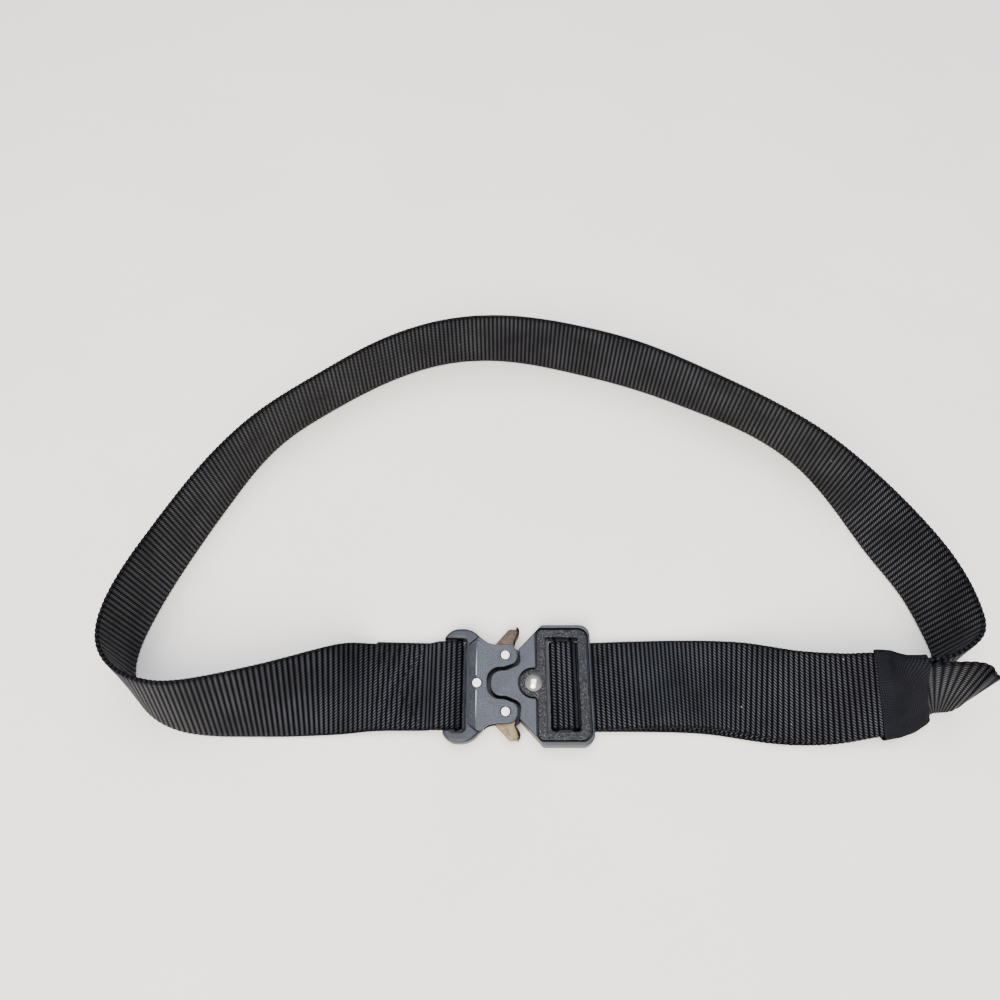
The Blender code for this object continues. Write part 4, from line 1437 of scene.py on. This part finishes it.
@dataclass
class LatchHalf:
    """The buckle's left half: frame with its webbing bar, cover, rivets and the two release levers."""

    frame_z: tuple[float, float] = (1.0, 7.4)
    base_z: tuple[float, float] = (1.2, 2.3)
    cover_z: tuple[float, float] = (6.4, 8.4)
    lever_z: tuple[float, float] = (2.8, 6.0)
    lip_high: float = 8.3
    rivet_z: tuple[float, float] = (1.2, 8.6)
    bar_x: tuple[float, float] = (-24.0, -18.2)
    slot_x: tuple[float, float] = (-21.0, -15.1)
    slot_half: float = 19.8
    frame_edge: float = 1.3
    # Half outlines: x, y, corner radius
    lug: tuple = ((-24.8, 24.4, 7.0), (-12.4, 24.4, 9.0), (-6.6, 18.6, 4.0), (-6.6, 12.0, 0.5))
    base: tuple = (
        (-16.0, 18.8, 0.5), (-9.2, 20.2, 1.0), (-4.5, 16.7, 6.0),
        (9.2, 16.6, 3.0), (9.2, 8.0, 3.0), (3.0, 6.0, 2.0),
    )
    cover: tuple = (
        (-13.2, 16.9, 1.2), (-9.0, 20.3, 1.4), (-4.5, 17.0, 6.0),
        (7.5, 16.7, 4.2), (7.4, 8.9, 3.4), (1.6, 6.9, 3.0),
        (-5.6, 6.7, 5.6),
    )
    # The cover lies in a shallow seat that shows as a seam at its left
    seam: tuple = ((-13.75, 17.2, 1.4), (-9.2, 20.9, 1.6), (-4.3, 17.5, 6.0), (8.0, 17.2, 4.4))
    lever_arm: tuple = (
        (-0.9, 8.9, 3.0), (-1.8, 17.8, 1.2), (4.2, 24.6, 2.4),
        (8.2, 24.0, 0.8), (6.6, 18.4, 1.5), (5.6, 8.9, 3.0),
    )
    lever_lip: tuple = ((6.2, 17.6), (6.6, 19.0), (7.5, 20.6), (8.2, 22.2), (8.1, 23.6), (7.3, 24.6))
    lip_thick: float = 0.6
    lower_reach: float = 0.91  # the lower lever shows a little less of its wing

    def frame(self) -> bpy.types.Object:
        """Frame: lugs, slot, webbing bar and the base under the levers.

        Returns:
            The frame.
        """
        slot = rectangle(self.slot_x, self.slot_half, 1.4)
        outlines = [rounded(mirrored(self.lug)), slot]
        made = plate("latch_frame_dressed", outlines, *self.frame_z, self.frame_edge)
        half = self.slot_half + 0.2
        low, high = THROUGH
        room = block("bar_room", (self.bar_x[0] - 3, -half, low), (self.slot_x[0] + 2, half, high))
        bar = round_bar("webbing_bar", self.bar_x, self.slot_half + 1.2)
        base = plate("base_plate", [rounded(mirrored(self.base))], *self.base_z)
        seam = plate("seam", [rounded(mirrored(self.seam))], self.cover_z[0] - 0.5, high)
        combine(made, [room, seam])
        combine(made, [bar, base], "UNION")
        places = RIVET_PLACES.items()
        holes = [plate(name + "_hole", [circle(*at, HOLE_RADIUS)], *THROUGH) for name, at in places]
        return even_shading(combine(made, holes))

    def top(self) -> bpy.types.Object:
        """Cover plate: the notch for the tongue's nose, rivet holes and a sloped left edge.

        Returns:
            The cover.
        """
        holes = [circle(x, y, HOLE_RADIUS) for x, y in RIVET_PLACES.values()]
        made = plate("latch_cover_dressed", [rounded(mirrored(self.cover)), *holes], *self.cover_z, 0.35)
        slope = block("cover_slope", (-6.0, -24, 0), (0.0, 24, 6))
        hinge = Vector(place((0, MIDDLE_Y, 0)))
        seat = Vector(place((-10.2, MIDDLE_Y, self.cover_z[1])))
        turn = Matrix.Rotation(-radians(22.0), 4, "Y")
        slope.data.transform(Matrix.Translation(seat) @ turn @ Matrix.Translation(-hinge))
        return even_shading(combine(made, [slope]), 18.0)

    def rivet(self, name: str) -> bpy.types.Object:
        """Flush rivet with a soft edge."""
        x, y = RIVET_PLACES[name]
        return even_shading(plate(name + "_dressed", [circle(x, y, RIVET_RADIUS)], *self.rivet_z, 0.28))

    def lever(self, side: Half) -> bpy.types.Object:
        """Release lever with its curved thumb lip.

        Args:
            side: which of the two.

        Returns:
            The lever.
        """
        name = "lever_" + side.name.lower()
        pivot = RIVET_PLACES["rivet_upper"]
        reach = 1.0 if side is Half.UPPER else self.lower_reach

        def out(y: float) -> float:
            """Place on this lever's side of the middle line, drawn in towards its pivot."""
            return side.value * (pivot[1] + (y - pivot[1]) * reach)

        arm = [(x, out(y), radius) for x, y, radius in self.lever_arm]
        hole = circle(pivot[0], side.value * pivot[1], HOLE_RADIUS)
        made = plate(name + "_dressed", [rounded(arm), hole], *self.lever_z, 0.3)
        line = smooth_rows([(*point, 0.0) for point in self.lever_lip], 0.3)[:, :2]
        along = np.gradient(line, axis=0)
        along /= np.linalg.norm(along, axis=1)[:, None]
        across = np.stack([-along[:, 1], along[:, 0]], axis=1) * self.lip_thick / 2
        both_sides = np.concatenate([line + across, (line - across)[::-1]])
        outline = [Vector((x, out(y))) for x, y in both_sides]
        lip = plate(name + "_lip", [outline], self.lever_z[0] + 0.05, self.lip_high, 0.2)
        return even_shading(combine(made, [lip], "UNION"))

    def build(self, finishes: Finishes) -> None:
        """Builds and dresses the half.

        Args:
            finishes: the belt's finishes.
        """
        dress(self.frame(), finishes.coated, "belt", ("latch_frame",))
        dress(self.top(), finishes.creased, "belt", ("latch_cover",))
        for name in RIVET_PLACES:
            dress(self.rivet(name), finishes.steel, "belt", (name,))
        for side in Half:
            name = "lever_" + side.name.lower()
            # the upper lever takes the brass painted darker as shade
            finish = finishes.shaded_brass if side is Half.UPPER else finishes.brass
            dress(self.lever(side), finish, name, (name,))


@dataclass
class AdjusterHalf:
    """The buckle's right half: tongue body, inset frame, webbing bar and ball stud."""

    body_z: tuple[float, float] = (1.0, 8.2)
    tongue_low: float = 2.6
    inset_z: tuple[float, float] = (5.9, 8.0)
    recess_low: float = 5.6
    groove: float = 0.6
    bar_x: tuple[float, float] = (23.8, 31.3)
    bar_half: float = 21.8
    window_x: tuple[float, float] = (19.8, 33.8)
    window_half: float = 20.1
    channel_high: float = 4.65
    lobe: tuple[float, float] = (14.4, 6.0)
    inset_box: tuple[float, float, float] = (15.9, 37.9, 23.7)
    ball_radius: float = 3.7
    ball_height: float = 2.0
    shank_radius: float = 1.5
    shank_low: float = 2.6
    # Half outline: x, y, corner radius
    tongue: tuple = (
        (-4.1, 5.4, 4.8), (2.6, 5.6, 3.0), (8.9, 8.3, 3.0),
        (8.1, 14.9, 0.7), (18.2, 25.7, 1.6), (39.4, 25.7, 4.4),
    )

    def inset_outline(self, grow: float) -> Points:
        """Outline of the inset frame with its round lobe.

        Args:
            grow: how far it is grown all round.

        Returns:
            The outline about the buckle's middle line.
        """
        left, right, top = self.inset_box
        lobe_x, lobe_radius = self.lobe
        left, right, top, lobe = left - grow, right + grow, top + grow, lobe_radius + grow
        half = ((lobe_x - lobe, lobe, lobe - 0.1), (left, lobe, 1.4 - grow), (left, top, 2.6 + grow),
                (right, top, 3.6 + grow))
        return rounded(mirrored(half))

    def recess(self) -> bpy.types.Object:
        """Cutter for the inset's recess, its mouth rounded.

        Returns:
            The cutter.
        """
        lip, top = 0.35, self.body_z[1]
        rings = [(self.recess_low, self.inset_outline(self.groove))]
        for k in range(7):
            angle = radians(15 * k)
            mouth = self.inset_outline(self.groove + lip * (1 - cos(angle)))
            rings.append((top - lip + lip * sin(angle), mouth))
        rings.append((top + 4, self.inset_outline(self.groove + lip)))
        return loft("recess", rings)

    def body(self) -> bpy.types.Object:
        """Tongue body: rounded nose, flared shoulders, recess and webbing channel.

        Returns:
            The body.
        """
        bore = circle(self.lobe[0], 0, self.shank_radius + CLEAR)
        made = plate("tongue_body_dressed", [rounded(mirrored(self.tongue)), bore], *self.body_z, 0.6)
        left, right = self.window_x
        half, low = self.window_half + CLEAR, THROUGH[0]
        window = plate("window", [rectangle((left + 1.4, right + CLEAR), half, 1.2)], *THROUGH)
        channel = block("channel", (17.6, -half, low), (50, half, self.channel_high))
        nose_room = block("nose_room", (-20, -30, low), (9.6, 30, self.tongue_low))
        near = (self.bar_x[0] - CLEAR, -self.bar_half - CLEAR, BAR_Z - BAR_THICK / 2 - CLEAR)
        far = (self.bar_x[1] + CLEAR, self.bar_half + CLEAR, BAR_Z + BAR_THICK / 2 + CLEAR)
        seats = block("bar_seats", near, far)
        return even_shading(combine(made, [window, self.recess(), channel, nose_room, seats]))

    def inset(self) -> bpy.types.Object:
        """Inset frame round the webbing window, with the stud's round lobe.

        Returns:
            The inset.
        """
        bore = circle(self.lobe[0], 0, self.shank_radius + CLEAR)
        outlines = [self.inset_outline(0.0), rectangle(self.window_x, self.window_half, 1.0), bore]
        return even_shading(plate("adjuster_frame_dressed", outlines, *self.inset_z, 0.55))

    def stud(self) -> bpy.types.Object:
        """Domed stud: a turned profile, its shank through the lobe.

        Returns:
            The stud.
        """
        seat = self.inset_z[1] + CLEAR
        round_radius = (self.ball_radius**2 + self.ball_height**2) / (2 * self.ball_height)
        slopes = np.linspace(0, asin(self.ball_radius / round_radius), 19)
        top = seat + self.ball_height
        dome = [(round_radius * sin(a), top - round_radius * (1 - cos(a))) for a in slopes]
        shank = [(self.shank_radius, seat), (self.shank_radius, self.shank_low), (0.0, self.shank_low)]
        profile = [(0.0, top), *dome[1:], *shank]
        sides = 64
        shape = bmesh.new()
        centre = Vector(place((self.lobe[0], MIDDLE_Y, 0)))
        line = [shape.verts.new(centre + Vector((r * MM, 0, z * MM))) for r, z in profile]
        edges = [shape.edges.new((a, b)) for a, b in zip(line, line[1:])]
        bmesh.ops.spin(
            shape, geom=line + edges, cent=centre, axis=(0, 0, 1), angle=2 * pi, steps=sides, use_merge=True
        )
        bmesh.ops.remove_doubles(shape, verts=shape.verts, dist=WELD)
        bmesh.ops.recalc_face_normals(shape, faces=shape.faces)
        return even_shading(new_object("ball_stud_dressed", mesh_of("ball_stud_dressed", shape)))

    def build(self, finishes: Finishes) -> None:
        """Builds and dresses the half.

        Args:
            finishes: the belt's finishes.
        """
        dress(self.body(), finishes.cast, "belt", ("tongue_body",))
        dress(self.inset(), finishes.sanded, "belt", ("adjuster_frame",))
        bar = even_shading(round_bar("adjuster_bar_dressed", self.bar_x, self.bar_half))
        dress(bar, finishes.coated, "belt", ("adjuster_bar",))
        dress(self.stud(), finishes.chrome, "belt", ("ball_stud",))


# Studio


@dataclass(frozen=True)
class Studio:
    """Plain pale floor, soft light and the camera of the photograph."""

    floor_colour: str = "#f4f0e8"
    camera_at: tuple[float, float, float] = (0.0, -62.0, 327.6)
    tilt: float = 28.0
    lens: float = 27.04

    def floor(self) -> None:
        """Pale floor under the belt."""
        shape = bmesh.new()
        bmesh.ops.create_grid(shape, x_segments=1, y_segments=1, size=2.0)
        mesh = mesh_of("floor", shape)
        material, tree, shader = new_material("pale_floor")
        place_of = add(tree, "TexCoord").outputs["Object"]
        cloud = add(tree, "TexNoise", {"Vector": place_of, "Scale": 9.0, "Detail": 6.0}).outputs[0]
        tone = add(tree, "MapRange", {"Value": cloud, "From Min": 0.35, "From Max": 0.65}).outputs[0]
        colour = add(
            tree,
            "Mix",
            {"Factor": tone, "A": linear(self.floor_colour), "B": linear("#f8f4ec")},
            data_type="RGBA",
        )
        tree.links.new(colour.outputs["Result"], shader.inputs["Base Color"])
        shader.inputs["Roughness"].default_value = 0.9
        floor = new_object("floor", mesh)
        floor.data.materials.append(material)

    def light(self, name: str, at: tuple, size: float, power: float, colour: str) -> None:
        """Square soft light aimed at the belt's middle.

        Args:
            name: the light's name.
            at: its place in metres.
            size: its side in metres.
            power: its power in watts.
            colour: its sRGB hex colour.
        """
        lamp = bpy.data.lights.new(name, "AREA")
        lamp.shape = "SQUARE"
        lamp.size = size
        lamp.energy = power
        lamp.color = linear(colour)[:3]
        obj = bpy.data.objects.new(name, lamp)
        obj.location = at
        obj.rotation_euler = (-Vector(at)).to_track_quat("-Z", "Y").to_euler()
        bpy.context.scene.collection.objects.link(obj)

    def build(self) -> None:
        """Sets the camera, the floor and the lights."""
        lens = bpy.data.cameras.new("camera")
        lens.sensor_width = 36.0
        lens.lens = self.lens
        camera = bpy.data.objects.new("camera", lens)
        camera.location = place(self.camera_at)
        camera.rotation_euler = (radians(self.tilt), 0, 0)
        bpy.context.scene.collection.objects.link(camera)
        bpy.context.scene.camera = camera
        self.floor()
        self.light("window_light", (-0.25, -1.0, 1.3), 1.3, 62.0, "#fff8f0")
        self.light("sky_light", (0.0, 0.35, 1.6), 1.5, 46.0, "#eff3ff")
        world = bpy.data.worlds.new("studio_air")
        world.use_nodes = True
        world.node_tree.nodes["Background"].inputs["Color"].default_value = linear("#dfe3ea")
        world.node_tree.nodes["Background"].inputs["Strength"].default_value = 0.3
        bpy.context.scene.world = world


def main() -> None:
    """Builds the belt and its studio in order."""
    finishes = make_finishes()
    Studio().build()
    webbing = Webbing()
    strap = dress(webbing.build(), finishes.webbing, "belt", ("strap",))
    log.info("strap length %.1f mm", webbing.length)
    dress(BoxStitching().build(), finishes.thread, "belt")
    keeper = Keeper(webbing)
    loop = dress(keeper.build(), finishes.elastic, "belt", ("keeper",))
    sizes = (keeper.girth, keeper.wide, keeper.mean_wide)
    log.info("keeper %.1f mm round, %.1f mm wide, %.1f mm on average", *sizes)
    LatchHalf().build(finishes)
    AdjusterHalf().build(finishes)


if __name__ == "__main__":
    main()
